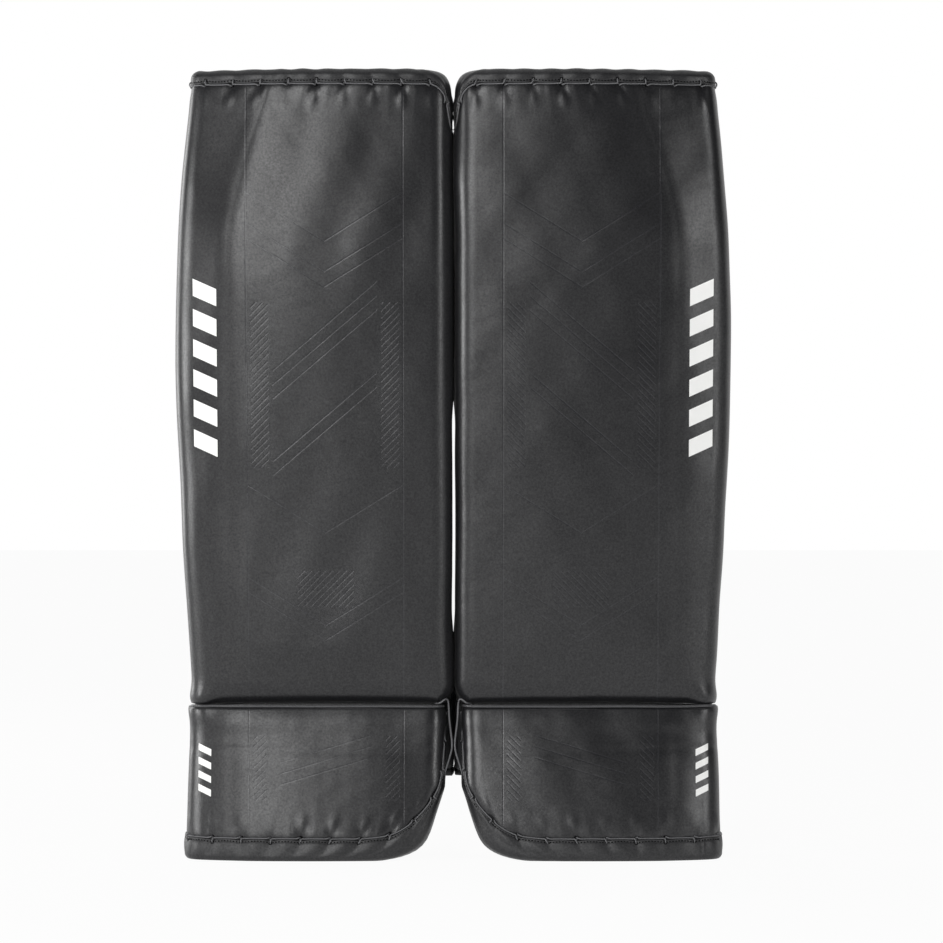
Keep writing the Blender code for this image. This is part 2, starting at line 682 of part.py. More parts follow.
def add_buckle(prefix, side, back):
    """Add the boot strap in two halves and its side-release buckle."""
    mesh = webbing("boot_strap_inner", side, BOOT_CHANNEL_START, PLUG_PLACE + PLUG_BAR, 1)
    add_object(prefix + "boot_strap_inner", mesh, "webbing", back)
    mesh = webbing("boot_strap_outer", side, BOOT_CHANNEL_END, SOCKET_END - PLUG_BAR, -1)
    add_object(prefix + "boot_strap_outer", mesh, "webbing", back)

    front, rear = BUCKLE_LAY - PLUG_THICKNESS, BUCKLE_LAY + 2 * PLUG_THICKNESS
    slot_half = WEBBING_WIDTH / 2 + 2 * SEAT
    middle = (side * PLUG_PLACE, BUCKLE_LAY, -BOOT_STRAP_LEVEL)
    plug = add_object(prefix + "boot_buckle_plug", plug_mesh(side), "plastic", back, middle)
    start = PLUG_PLACE + PLUG_BAR
    cut(plug, [box_across(side, start, start + PLUG_WINDOW, front, rear, slot_half)], middle)

    socket = add_object(prefix + "boot_buckle_socket", socket_mesh(side), "plastic", back)
    seat_front, seat_rear = BUCKLE_LAY - SEAT, BUCKLE_LAY + PLUG_THICKNESS + SEAT
    catch = SOCKET_START + CATCH_START * SOCKET_DEPTH
    cut(socket, [
        box_across(side, SOCKET_START - PRONG_WIDTH, SOCKET_START + SOCKET_DEPTH,
                   seat_front, seat_rear, CAVITY_HALF),
        box_across(side, catch, catch + CATCH_LENGTH * SOCKET_DEPTH,
                   seat_front, seat_rear, 2 * BUCKLE_HALF),
        box_across(side, SOCKET_NECK, SOCKET_NECK + SOCKET_SLOT, front, rear, slot_half),
    ])


def add_toe_strap(prefix, side, back):
    """Add the toe bridge and the elastic toe strap that swings in it."""
    near, far = BRIDGE_PLACE - BRIDGE_WIDTH / 2, BRIDGE_PLACE + BRIDGE_WIDTH / 2
    floor = SEAT + BRIDGE_DEPTH - BRIDGE_EAR
    outline = [(near, SEAT), (far, SEAT), (far, SEAT + BRIDGE_DEPTH)]
    outline += [(far - BRIDGE_EAR, SEAT + BRIDGE_DEPTH), (far - BRIDGE_EAR, floor)]
    outline += [(near + BRIDGE_EAR, floor), (near + BRIDGE_EAR, SEAT + BRIDGE_DEPTH)]
    outline.append((near, SEAT + BRIDGE_DEPTH))
    low = -BRIDGE_LEVEL - BRIDGE_HEIGHT / 2
    mesh = prism("toe_bridge", side, outline, low, low + BRIDGE_HEIGHT)
    add_object(prefix + "toe_bridge", mesh, "leather", back)

    width = BRIDGE_WIDTH - 2 * (BRIDGE_EAR + SEAT)
    eye = TOE_STRAP_THICKNESS / 2
    pivot_y = floor + SEAT + eye
    outline = [(-eye * math.sin(math.radians(a)), -eye * math.cos(math.radians(a)))
               for a in steps(0, 180, 6)]
    outline += [(TOE_STRAP_LENGTH, eye), (TOE_STRAP_LENGTH, -eye)]
    outline = [(pivot_y + y, z - BRIDGE_LEVEL) for y, z in outline]
    near = BRIDGE_PLACE - width / 2
    mesh = plate("toe_strap", side, outline, near, near + width)
    pivot = (side * BRIDGE_PLACE, pivot_y, -BRIDGE_LEVEL)
    add_object(prefix + "toe_strap", mesh, "webbing", back, pivot)


def add_boot_channel(prefix, side, back):
    """Add the boot wings, the boot strap with its buckle, and the toe strap."""
    outline = wing_outline(-BOOT_WING_LOW, -BOOT_WING_HIGH, BOOT_WING_DEPTH, BOOT_WING_CORNER)
    start = BOOT_CHANNEL_START
    mesh = plate("inner_boot_wing", side, outline, start, start + BOOT_WING_THICKNESS)
    add_object(prefix + "inner_boot_wing", mesh, "nylon", back)
    end = BOOT_CHANNEL_END
    mesh = plate("outer_boot_wing", side, outline, end - BOOT_WING_THICKNESS, end)
    add_object(prefix + "outer_boot_wing", mesh, "nylon", back)
    add_buckle(prefix, side, back)
    add_toe_strap(prefix, side, back)


# --------------------------------------------------------------- the pair

def add_pad(name, side):
    """Add one complete pad."""
    prefix = name + "_"
    pad = add_empty(prefix + "pad_frame", None, (side * INNER_EDGE, 0.0, 0.0))
    add_upper(prefix, side, pad)

    break_y = face_line(BREAK_LEVEL)
    shin_place = (0.0, break_y + CORE_DEPTH, BREAK_LEVEL)
    shin = add_empty(prefix + "shin_frame", pad, shin_place, SHIN_LEAN)
    add_leg_channel(prefix, side, shin)

    hinge = Vector((0.0, break_y + PIPING_RADIUS, BREAK_LEVEL))
    boot = add_empty(prefix + "boot_frame", pad, hinge)
    add_boot(prefix, side, boot, hinge)
    back_place = (0.0, CORE_DEPTH - PIPING_RADIUS, 0.0)
    back = add_empty(prefix + "boot_back_frame", boot, back_place, -BOOT_LEAN)
    add_boot_channel(prefix, side, back)


for old in list(bpy.data.objects):
    bpy.data.objects.remove(old, do_unlink=True)
for pad_name, pad_side in (("right", -1), ("left", 1)):
    add_pad(pad_name, pad_side)
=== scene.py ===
"""Looks of a pair of ice hockey goalie leg pads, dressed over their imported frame.

Lengths are in metres in the frame of the solids: +Z is up, the faces look towards
-Y and +X is the wearer's left. Inside a pad, u is the distance outwards from its
inner edge. One set of classes dresses both pads.
"""

from __future__ import annotations

import logging
import math
from collections.abc import Callable, Sequence
from dataclasses import dataclass
from enum import Enum

import bmesh
import bpy
import numpy as np
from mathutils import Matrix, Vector
from mathutils.bvhtree import BVHTree


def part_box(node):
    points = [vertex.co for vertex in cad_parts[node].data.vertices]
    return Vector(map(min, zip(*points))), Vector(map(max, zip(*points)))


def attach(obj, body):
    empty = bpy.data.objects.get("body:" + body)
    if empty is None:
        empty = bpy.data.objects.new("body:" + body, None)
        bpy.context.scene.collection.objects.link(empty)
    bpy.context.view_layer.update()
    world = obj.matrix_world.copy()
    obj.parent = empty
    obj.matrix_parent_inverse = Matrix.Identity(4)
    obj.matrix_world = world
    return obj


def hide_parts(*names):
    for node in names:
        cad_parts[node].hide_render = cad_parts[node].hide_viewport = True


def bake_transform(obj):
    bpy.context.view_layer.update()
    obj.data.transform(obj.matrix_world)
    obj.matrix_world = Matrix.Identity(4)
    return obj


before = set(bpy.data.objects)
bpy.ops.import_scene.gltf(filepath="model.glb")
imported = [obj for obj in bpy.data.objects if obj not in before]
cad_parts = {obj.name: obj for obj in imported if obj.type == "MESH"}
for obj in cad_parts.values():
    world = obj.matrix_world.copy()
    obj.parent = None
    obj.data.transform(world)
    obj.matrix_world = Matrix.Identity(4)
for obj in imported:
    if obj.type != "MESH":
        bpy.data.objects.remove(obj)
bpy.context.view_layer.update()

Array = np.ndarray
Tree, Node, Socket = bpy.types.NodeTree, bpy.types.Node, bpy.types.NodeSocket
Piece, Mesh, Material = bpy.types.Object, bpy.types.Mesh, bpy.types.Material
LOG = logging.getLogger("goalie_pads")
MM = 0.001
VIEW_MIDDLE = Vector((0.0183, 0.0, 0.3915))     # where the camera and lamps point
BREAK_ROOM = 8.5 * MM    # the sewn backs end this far from the break


# ------------------------------------------------------------------ materials

def linear(code: str) -> tuple[float, float, float, float]:
    """Turn an sRGB hex code into a linear colour.

    Args:
        code: Six hex digits, such as "2a2a2c".

    Returns:
        Red, green, blue and an alpha of 1.
    """
    channels = [int(code[i:i + 2], 16) / 255 for i in (0, 2, 4)]
    red, green, blue = [
        c / 12.92 if c <= 0.04045 else ((c + 0.055) / 1.055) ** 2.4 for c in channels
    ]
    return red, green, blue, 1.0


def add_node(tree: Tree, kind: str, inputs: dict | None = None,
             **settings: object) -> Node:
    """Add one node with its settings, constants and links.

    Args:
        tree: The tree that gets the node.
        kind: The node's type name.
        inputs: Socket name or index to a constant, or to the socket that feeds it.
        settings: Attributes of the node.

    Returns:
        The new node.
    """
    made = tree.nodes.new(kind)
    for name, value in settings.items():
        setattr(made, name, value)
    for key, value in (inputs or {}).items():
        if isinstance(value, Socket):
            tree.links.new(value, made.inputs[key])
        else:
            made.inputs[key].default_value = value
    return made


def mixed_tone(tree: Tree, share: Socket, first: object, second: object) -> Socket:
    """Return the second colour where share is 1 and the first where it is 0."""
    return add_node(tree, "ShaderNodeMix", {0: share, 6: first, 7: second},
                    data_type="RGBA").outputs[2]


def add_bump(tree: Tree, height: Socket, strength: float, distance: float,
             normal: Socket | None = None, **settings: object) -> Socket:
    """Add a bump and return its normal.

    Args:
        tree: The tree that gets the node.
        height: The pattern, from 0 to 1.
        strength: Share of the pattern that shows.
        distance: Depth of the pattern in metres.
        normal: The normal under the bump, or None for the surface's own.
        settings: Attributes of the node.

    Returns:
        The bumped normal.
    """
    inputs = {"Height": height, "Strength": strength, "Distance": distance}
    if normal is not None:
        inputs["Normal"] = normal
    return add_node(tree, "ShaderNodeBump", inputs, **settings).outputs[0]


def set_sheen(shader: Node, weight: float, roughness: float) -> None:
    """Give a shader the soft edge light of fibres."""
    shader.inputs["Sheen Weight"].default_value = weight
    shader.inputs["Sheen Roughness"].default_value = roughness


PRINT_WHITE = "f0f0ee"
NOISE_SPAN = {"From Min": 0.3, "From Max": 0.7}    # where a noise's values lie
BAND_RATE = 0.314    # scale of a wave texture whose bands are a metre apart


@dataclass(frozen=True)
class Finish:
    """A surface finish: a base for the finishes of this object.

    Attributes:
        name: What the material is and how its surface was made.
        colour: sRGB hex code of the surface.
        roughness: Typical roughness, matched to the object.
        uneven: How far roughness and colour drift over a hand's width.
    """

    name: str
    colour: str
    roughness: float
    uneven: float = 0.08

    def material(self) -> Material:
        """Return the material, made once."""
        found = bpy.data.materials.get(self.name)
        if found:
            return found
        made = bpy.data.materials.new(self.name)
        made.use_nodes = True
        tree = made.node_tree
        tree.nodes.clear()
        place = add_node(tree, "ShaderNodeTexCoord").outputs["Object"]
        shader = add_node(tree, "ShaderNodeBsdfPrincipled")
        self.dress(tree, shader, place)
        add_node(tree, "ShaderNodeOutputMaterial", {"Surface": shader.outputs[0]})
        return made

    def dress(self, tree: Tree, shader: Node, place: Socket) -> None:
        """Set the shader's sockets.

        Args:
            tree: The material's tree.
            shader: The Principled shader.
            place: Object coordinates in metres.
        """
        raise NotImplementedError

    def drift(self, tree: Tree, shader: Node, place: Socket, size: float,
              lines: Socket | None = None) -> None:
        """Let colour and roughness drift slowly over the surface.

        Args:
            tree: The material's tree.
            shader: The Principled shader.
            place: Object coordinates.
            size: Width of one drift in metres.
            lines: Mask of a design that is a shade lighter and smoother.
        """
        cloud = add_node(tree, "ShaderNodeTexNoise",
                         {"Vector": place, "Scale": 1 / size, "Detail": 3.0})
        low, high = self.roughness - self.uneven / 2, self.roughness + self.uneven / 2
        rough = add_node(tree, "ShaderNodeMapRange",
                         {"Value": cloud.outputs["Fac"], **NOISE_SPAN,
                          "To Min": low, "To Max": high}).outputs[0]
        base = linear(self.colour)
        light = tuple(c * (1 + 1.5 * self.uneven) for c in base[:3]) + (1.0,)
        tone = mixed_tone(tree, cloud.outputs["Fac"], base, light)
        if lines is not None:
            pale = tuple(c * 2.0 for c in base[:3]) + (1.0,)
            tone = mixed_tone(tree, lines, tone, pale)
            rough = add_node(tree, "ShaderNodeMath", {0: lines, 1: -0.05, 2: rough},
                             operation="MULTIPLY_ADD").outputs[0]
            printed = FaceDesign(tree, place).print_mask()
            tone = mixed_tone(tree, printed, tone, linear(PRINT_WHITE))
        tree.links.new(rough, shader.inputs["Roughness"])
        tree.links.new(tone, shader.inputs["Base Color"])


@dataclass(frozen=True)
class Leather(Finish):
    """Calendered synthetic leather: a soft satin gloss over a fine pebble grain.

    Attributes:
        grain: Width of one pebble in metres.
        depth: Height of the grain in metres.
        design: Whether the embossed tone-on-tone design is pressed into it.
    """

    grain: float = 0.9 * MM
    depth: float = 0.05 * MM
    design: bool = False

    def dress(self, tree: Tree, shader: Node, place: Socket) -> None:
        """Set a grained, slightly uneven satin skin; see Finish.dress for Args."""
        lines = FaceDesign(tree, place).mask() if self.design else None
        self.drift(tree, shader, place, 90 * MM, lines)
        shader.inputs["IOR"].default_value = 1.5
        set_sheen(shader, 0.06, 0.4)
        pores = add_node(tree, "ShaderNodeTexNoise",
                         {"Vector": place, "Scale": 0.42 / self.grain, "Detail": 3.0,
                          "Roughness": 0.7})
        gloss = add_node(tree, "ShaderNodeMapRange",
                         {"Value": pores.outputs["Fac"], **NOISE_SPAN,
                          "To Min": 0.34, "To Max": 0.66})
        tree.links.new(gloss.outputs[0], shader.inputs["Specular IOR Level"])
        pebbles = add_node(tree, "ShaderNodeTexVoronoi",
                           {"Vector": place, "Scale": 1 / self.grain},
                           feature="SMOOTH_F1")
        creases = add_node(tree, "ShaderNodeTexNoise",
                           {"Vector": place, "Scale": 0.12 / self.grain, "Detail": 4.0})
        normal = add_bump(tree, pebbles.outputs["Distance"], 0.5, self.depth)
        normal = add_bump(tree, creases.outputs["Fac"], 0.35, 4 * self.depth, normal)
        if lines is not None:
            normal = add_bump(tree, lines, 0.6, 0.12 * MM, normal, invert=True)
        tree.links.new(normal, shader.inputs["Normal"])


@dataclass
class FaceDesign:
    """A plain printed and pressed design: chevrons, slants, hatching and bars.

    Attributes:
        tree: The material's tree.
        place: Object coordinates.
        middle: Distance of the chevrons' points from the middle of the pair.
        slope: Rise of a chevron's arm for each step outwards.
        line: Half the width of a pressed line.
        reach: Half the span of a chevron.
        foot: Level where the upright lines start.
        bar_slope: Rise of a printed bar for each step outwards.
        facing: Normals further to the front than this carry the print.
        chevrons: Heights of the chevrons' points.
        slants: Height, lean and half span of each long slanted line.
        stripes: Distances of the upright lines from the middle of the pair.
        hatches: Inner edge, outer edge, lowest and highest level of each hatching.
        bars: Lowest level, pitch, count, half height, half width and distance
            from the middle of each column of printed bars.
    """

    tree: Tree
    place: Socket
    middle: float = 128 * MM
    slope: float = 0.62
    line: float = 0.6 * MM
    reach: float = 78 * MM
    hatch_pitch: float = 7 * MM
    foot: float = 34 * MM
    bar_slope: float = 0.45
    facing: float = -0.25
    chevrons: tuple[float, ...] = (0.575, 0.590, 0.620, 0.330, 0.222, 0.237)
    slants: tuple[tuple[float, float, float], ...] = (
        (0.432, -0.85, 0.052), (0.446, -0.85, 0.052), (0.508, -0.85, 0.052),
        (0.522, -0.85, 0.052), (0.536, -0.85, 0.052), (0.090, -0.30, 0.046),
        (0.101, -0.30, 0.046), (0.112, -0.30, 0.046),
    )
    stripes: tuple[float, ...] = (0.050, 0.206)
    hatches: tuple[tuple[float, float, float, float], ...] = (
        (0.054, 0.072, 0.395, 0.560), (0.184, 0.202, 0.395, 0.560),
        (0.100, 0.156, 0.255, 0.292), (0.054, 0.068, 0.060, 0.125),
        (0.188, 0.202, 0.060, 0.125),
    )
    bars: tuple[tuple[float, float, int, float, float, float], ...] = (
        (0.420, 0.0300, 6, 0.0085, 0.0120, 0.2480),
        (0.070, 0.0135, 4, 0.0034, 0.0065, 0.2510),
    )

    def mask(self) -> Socket:
        """Return a socket that is 1 on the pressed lines and 0 elsewhere."""
        across, height = self._axes()
        arm = self._sum("ABSOLUTE", self._sum("SUBTRACT", across, self.middle))
        level = self._sum("SUBTRACT", height, self._sum("MULTIPLY", arm, self.slope))
        inside = self._sum("LESS_THAN", arm, self.reach)
        parts = []
        for point in self.chevrons:
            off = self._sum("SUBTRACT", level, point)
            near = self._near(off, self.line * math.hypot(1, self.slope))
            parts.append(self._sum("MULTIPLY", near, inside))
        step = self._sum("SUBTRACT", across, self.middle)
        for point, lean, span in self.slants:
            level = self._sum("SUBTRACT", height, self._sum("MULTIPLY", step, lean))
            off = self._sum("SUBTRACT", level, point)
            near = self._near(off, self.line * math.hypot(1, lean))
            inside = self._sum("LESS_THAN", arm, span)
            parts.append(self._sum("MULTIPLY", near, inside))
        above = self._sum("GREATER_THAN", height, self.foot)
        for stripe in self.stripes:
            near = self._near(self._sum("SUBTRACT", across, stripe), self.line)
            parts.append(self._sum("MULTIPLY", near, above))
        return self._joined([*parts, self._hatching(across, height)])

    def _hatching(self, across: Socket, height: Socket) -> Socket:
        """Return 1 on the slanted hatching and 0 elsewhere."""
        slanted = self._sum("ADD", height, across)
        saw = self._sum("PINGPONG", slanted, self.hatch_pitch / 2)
        strokes = self._near(saw, self.line * 1.4)
        fields = [self._field(across, height, *edges) for edges in self.hatches]
        return self._sum("MULTIPLY", strokes, self._joined(fields))

    def print_mask(self) -> Socket:
        """Return a socket that is 1 on the printed bars of the outer facet."""
        across, height = self._axes()
        parts = []
        for low, pitch, count, tall, wide, middle in self.bars:
            off = self._sum("SUBTRACT", across, middle)
            slanted = self._sum("SUBTRACT", height,
                                self._sum("MULTIPLY", off, self.bar_slope))
            saw = self._sum("PINGPONG", self._sum("SUBTRACT", slanted, low), pitch / 2)
            field = self._field(off, slanted, -wide, wide,
                                low - pitch / 2, low + pitch * (count - 0.5))
            bar = self._sum("LESS_THAN", saw, tall)
            parts.append(self._sum("MULTIPLY", field, bar))
        normal = add_node(self.tree, "ShaderNodeTexCoord").outputs["Normal"]
        front = add_node(self.tree, "ShaderNodeSeparateXYZ", {0: normal}).outputs["Y"]
        return self._sum("MULTIPLY", self._joined(parts),
                         self._sum("LESS_THAN", front, self.facing))

    def _axes(self) -> tuple[Socket, Socket]:
        """Return the distance from the middle of the pair and the height."""
        split = add_node(self.tree, "ShaderNodeSeparateXYZ", {0: self.place})
        return self._sum("ABSOLUTE", split.outputs["X"]), split.outputs["Z"]

    def _field(self, across: Socket, height: Socket, inner: float, outer: float,
               low: float, high: float) -> Socket:
        """Return 1 inside an upright rectangle and 0 outside it."""
        sides = []
        for value, start, end in ((across, inner, outer), (height, low, high)):
            gap = self._sum("ABSOLUTE", self._sum("SUBTRACT", value, (start + end) / 2))
            sides.append(self._sum("LESS_THAN", gap, (end - start) / 2))
        return self._sum("MULTIPLY", *sides)

    def _sum(self, operation: str, first: object, second: object = 0.0) -> Socket:
        """Return the result of one sum on sockets or constants."""
        return add_node(self.tree, "ShaderNodeMath", {0: first, 1: second},
                        operation=operation).outputs[0]

    def _near(self, off: Socket, width: float) -> Socket:
        """Return 1 where off is about 0, fading out at width."""
        fade = {"From Min": 0.4 * width, "From Max": 1.6 * width,
                "To Min": 1.0, "To Max": 0.0}
        return add_node(self.tree, "ShaderNodeMapRange",
                        {"Value": self._sum("ABSOLUTE", off), **fade}).outputs[0]

    def _joined(self, masks: Sequence[Socket]) -> Socket:
        """Return the largest of several masks."""
        total = masks[0]
        for mask in masks[1:]:
            total = self._sum("MAXIMUM", total, mask)
        return total


@dataclass(frozen=True)
class Woven(Finish):
    """Plain-woven nylon or webbing: matt, with a grid of threads.

    Attributes:
        thread: Spacing of the threads in metres, drawn coarse enough to show.
        depth: Height of the weave in metres.
    """

    thread: float = 1.2 * MM
    depth: float = 0.18 * MM

    def dress(self, tree: Tree, shader: Node, place: Socket) -> None:
        """Set a thread pattern and a little sheen; see Finish.dress for Args."""
        self.drift(tree, shader, place, 40 * MM)
        set_sheen(shader, 0.25, 0.5)
        waves = []
        for turn in ((0.0, 0.0, 0.0), (0.0, math.pi / 2, 0.0)):
            turned = add_node(tree, "ShaderNodeMapping",
                              {"Vector": place, "Rotation": turn})
            wave = add_node(tree, "ShaderNodeTexWave",
                            {"Vector": turned.outputs[0],
                             "Scale": BAND_RATE / self.thread,
                             "Distortion": 0.4, "Detail": 1.0, "Detail Scale": 1.5})
            waves.append(wave.outputs["Fac"])
        cloth = add_node(tree, "ShaderNodeMath", {0: waves[0], 1: waves[1]},
                         operation="MULTIPLY")
        bump = add_bump(tree, cloth.outputs[0], 0.8, self.depth)
        tree.links.new(bump, shader.inputs["Normal"])


@dataclass(frozen=True)
class Knit(Finish):
    """Brushed knitted liner: small soft loops with a fuzzy edge light.

    Attributes:
        loop: Spacing of the loops in metres.
    """

    loop: float = 1.8 * MM

    def dress(self, tree: Tree, shader: Node, place: Socket) -> None:
        """Set loops and sheen; see Finish.dress for Args."""
        self.drift(tree, shader, place, 50 * MM)
        set_sheen(shader, 0.5, 0.6)
        loops = add_node(tree, "ShaderNodeTexVoronoi",
                         {"Vector": place, "Scale": 1 / self.loop, "Randomness": 0.35})
        bump = add_bump(tree, loops.outputs["Distance"], 0.8, 0.3 * MM, invert=True)
        tree.links.new(bump, shader.inputs["Normal"])


@dataclass(frozen=True)
class Moulded(Finish):
    """Injection-moulded acetal: an even satin with a spark-eroded texture."""

    def dress(self, tree: Tree, shader: Node, place: Socket) -> None:
        """Set a fine moulded texture; see Finish.dress for Args."""
        self.drift(tree, shader, place, 15 * MM)
        shader.inputs["IOR"].default_value = 1.48
        speckle = add_node(tree, "ShaderNodeTexNoise",
                           {"Vector": place, "Scale": 2500.0, "Detail": 2.0})
        bump = add_bump(tree, speckle.outputs["Fac"], 0.25, 0.05 * MM)
        tree.links.new(bump, shader.inputs["Normal"])


@dataclass(frozen=True)
class Thread(Finish):
    """Waxed cord or sewing thread: twisted strands with a dull shine.

    Attributes:
        twist: Length of one turn of the strands in metres.
        shine: Strength of the glint; sunk stitches have little.
    """

    twist: float = 1.4 * MM
    shine: float = 0.5

    def dress(self, tree: Tree, shader: Node, place: Socket) -> None:
        """Set slanted strands; see Finish.dress for Args."""
        self.drift(tree, shader, place, 20 * MM)
        shader.inputs["Specular IOR Level"].default_value = self.shine
        slanted = add_node(tree, "ShaderNodeMapping",
                           {"Vector": place, "Rotation": (0.0, 0.8, 0.6)})
        strands = add_node(tree, "ShaderNodeTexWave",
                           {"Vector": slanted.outputs[0],
                            "Scale": BAND_RATE / self.twist})
        bump = add_bump(tree, strands.outputs["Fac"], 0.6, 0.15 * MM)
        tree.links.new(bump, shader.inputs["Normal"])


FACE_LEATHER = Leather("calendered_face_leather", "161618", 0.35, design=True)
WRAP_LEATHER = Leather("grained_wrap_leather", "151517", 0.45, grain=0.8 * MM,
                       depth=0.06 * MM)
BLOCK_LEATHER = Leather("grained_landing_leather", "3a3b3d", 0.58, grain=1.3 * MM,
                        depth=0.10 * MM)
PIPING_LEATHER = Leather("piping_leather", "3c3c3e", 0.38, grain=0.8 * MM)
PANEL_NYLON = Woven("coated_back_nylon", "1e1e20", 0.72)
BINDING = Woven("woven_binding_tape", "232325", 0.70, thread=0.8 * MM)
WEBBING = Woven("flat_woven_webbing", "1a1a1c", 0.66, thread=1.5 * MM, depth=0.3 * MM)
LOOP_PILE = Knit("brushed_loop_pile", "222224", 0.95, loop=1.1 * MM)
LINER = Knit("brushed_knit_liner", "505356", 0.90)
BUCKLE = Moulded("moulded_acetal", "19191a", 0.38)
LACE = Thread("waxed_lace_cord", "565658", 0.50)
STITCH = Thread("bonded_sewing_thread", "0b0b0c", 0.80, twist=0.8 * MM, shine=0.12)
BOARD = Moulded("polyethylene_board", "d8d8d4", 0.50)


# --------------------------------------------------------------- mesh building

class Side(Enum):
    """The wearer's side that a pad belongs to, with its direction along X."""

    RIGHT = ("right", -1)
    LEFT = ("left", 1)

    @property
    def word(self) -> str:
        """The name that the pad's nodes start with."""
        return self.value[0]

    @property
    def way(self) -> int:
        """-1 for the right pad and +1 for the left one."""
        return self.value[1]

    def node(self, name: str) -> str:
        """Return the full name of one of this pad's nodes or bodies."""
        return f"{self.word}_{name}"


def stand_up(mesh: Mesh, material: Material | None = None) -> Piece:
    """Put a mesh into the scene as an object of the same name."""
    piece = bpy.data.objects.new(mesh.name, mesh)
    bpy.context.scene.collection.objects.link(piece)
    if material is not None:
        mesh.materials.append(material)
    return piece


# Seeds of each pad's own unevenness, for the shin and for the boot.
UNEVENNESS = {Side.RIGHT: (11, 23), Side.LEFT: (47, 61)}


def add_piece(name: str, points: Array, faces: Sequence[Sequence[int]],
              finish: Finish) -> Piece:
    """Add a smooth mesh with its faces pointing out.

    Args:
        name: Name of the piece.
        points: Places of the vertices, in world metres.
        faces: Vertex numbers of each face.
        finish: The finish of the piece.

    Returns:
        The new object, at the origin.
    """
    mesh = bpy.data.meshes.new(name)
    mesh.from_pydata([tuple(p) for p in points], [], faces)
    bm = bmesh.new()
    bm.from_mesh(mesh)
    bmesh.ops.recalc_face_normals(bm, faces=bm.faces)
    bm.to_mesh(mesh)
    bm.free()
    mesh.shade_smooth()
    return stand_up(mesh, finish.material())


def ring_faces(rows: int, columns: int, bands: int) -> list[tuple[int, ...]]:
    """Return quads between closed rows.

    Args:
        rows: Number of rows; the last one joins the first if bands is rows.
        columns: Points in a row.
        bands: Number of bands of faces.

    Returns:
        The vertex numbers of each quad.
    """
    faces: list[tuple[int, ...]] = []
    for r in range(bands):
        s = (r + 1) % rows
        for c in range(columns):
            d = (c + 1) % columns
            faces.append((r * columns + c, r * columns + d,
                          s * columns + d, s * columns + c))
    return faces


def tube_faces(rows: int, columns: int) -> list[tuple[int, ...]]:
    """Return faces of a tube of closed rows whose ends run to two pole vertices.

    Args:
        rows: Number of rows, each a closed loop.
        columns: Points in a row.

    Returns:
        Quads between rows, then the fans to the poles, numbered after the grid.
    """
    faces = ring_faces(rows, columns, rows - 1)
    first, last = rows * columns, rows * columns + 1
    base = (rows - 1) * columns
    for c in range(columns):
        d = (c + 1) % columns
        faces.append((first, d, c))
        faces.append((last, base + c, base + d))
    return faces


def add_tube(name: str, grid: Array, finish: Finish) -> Piece:
    """Add a closed body through a grid of rows, each row a closed loop.

    Args:
        name: Name of the piece.
        grid: Places as rows by columns by 3.
        finish: The finish of the piece.

    Returns:
        The new object.
    """
    rows, columns = grid.shape[:2]
    poles = np.array([grid[0].mean(0), grid[-1].mean(0)])
    points = np.vstack([grid.reshape(-1, 3), poles])
    return add_piece(name, points, tube_faces(rows, columns), finish)


def rounded_loop(corners: Sequence[tuple[float, float]], radii: Sequence[float],
                 arc_steps: Sequence[int], edge_steps: Sequence[int]) -> Array:
    """Return a closed loop with rounded corners and a fixed count of points.

    Args:
        corners: Corners in order.
        radii: Radius at each corner.
        arc_steps: Points on each corner's round.
        edge_steps: Points on the straight after each corner.

    Returns:
        The loop's points, as n by 2.
    """
    count = len(corners)
    spots = [np.array(c, float) for c in corners]
    starts, ends = [], []
    for i in range(count):
        before, here, after = spots[i - 1], spots[i], spots[(i + 1) % count]
        a, b = here - before, after - here
        la, lb = np.linalg.norm(a), np.linalg.norm(b)
        turn = math.acos(max(-1.0, min(1.0, float(a @ b) / (la * lb))))
        reach = min(radii[i] * math.tan(turn / 2), 0.48 * la, 0.48 * lb)
        starts.append(here - a / la * reach)
        ends.append(here + b / lb * reach)
    points = []
    for i in range(count):
        for t in np.linspace(0, 1, arc_steps[i], endpoint=False):
            bend = (1 - t) ** 2 * starts[i] + 2 * t * (1 - t) * spots[i]
            points.append(bend + t * t * ends[i])
        nxt = starts[(i + 1) % count]
        for t in np.linspace(0, 1, edge_steps[i], endpoint=False):
            points.append(ends[i] + (nxt - ends[i]) * t)
    return np.array(points)


def unit(vectors: Array) -> Array:
    """Return the vectors at length 1."""
    sizes = np.linalg.norm(vectors, axis=-1, keepdims=True)
    return vectors / np.maximum(sizes, 1e-12)


def smooth(t: Array | float) -> Array | float:
    """Ease from 0 to 1 as t goes from 0 to 1."""
    t = np.clip(t, 0.0, 1.0)
    return t * t * (3 - 2 * t)


def ramp(x: Array, start: float, span: float) -> Array:
    """Ease from 0 at start to 1 a span later; both are in millimetres."""
    return smooth((x - start * MM) / (span * MM))


def fall(x: Array, end: float, span: float) -> Array:
    """Ease from 1 down to 0 at end over a span; both are in millimetres."""
    return smooth((end * MM - x) / (span * MM))


def bell(x: Array, middle: float, width: float) -> Array:
    """Return 1 at middle, fading over a width; both are in millimetres."""
    return np.exp(-((x - middle * MM) / (width * MM)) ** 2)


def swell(a: Array, b: Array, size: float, seed: int) -> Array:
    """Return a soft uneven field between about -1 and 1.

    Args:
        a: First coordinate of each point, in metres.
        b: Second coordinate of each point, in metres.
        size: Width of one swell in metres.
        seed: Number that picks the pattern.

    Returns:
        The field at each point.
    """
    dice = np.random.default_rng(seed)
    total = np.zeros(np.broadcast(a, b).shape)
    for _ in range(7):
        angle, phase = dice.uniform(0, math.pi), dice.uniform(0, 2 * math.pi)
        rate = 2 * math.pi / (size * dice.uniform(0.7, 1.6))
        total += np.sin((a * math.cos(angle) + b * math.sin(angle)) * rate + phase)
    return total / 4.0


# ----------------------------------------------------------------- pad shape

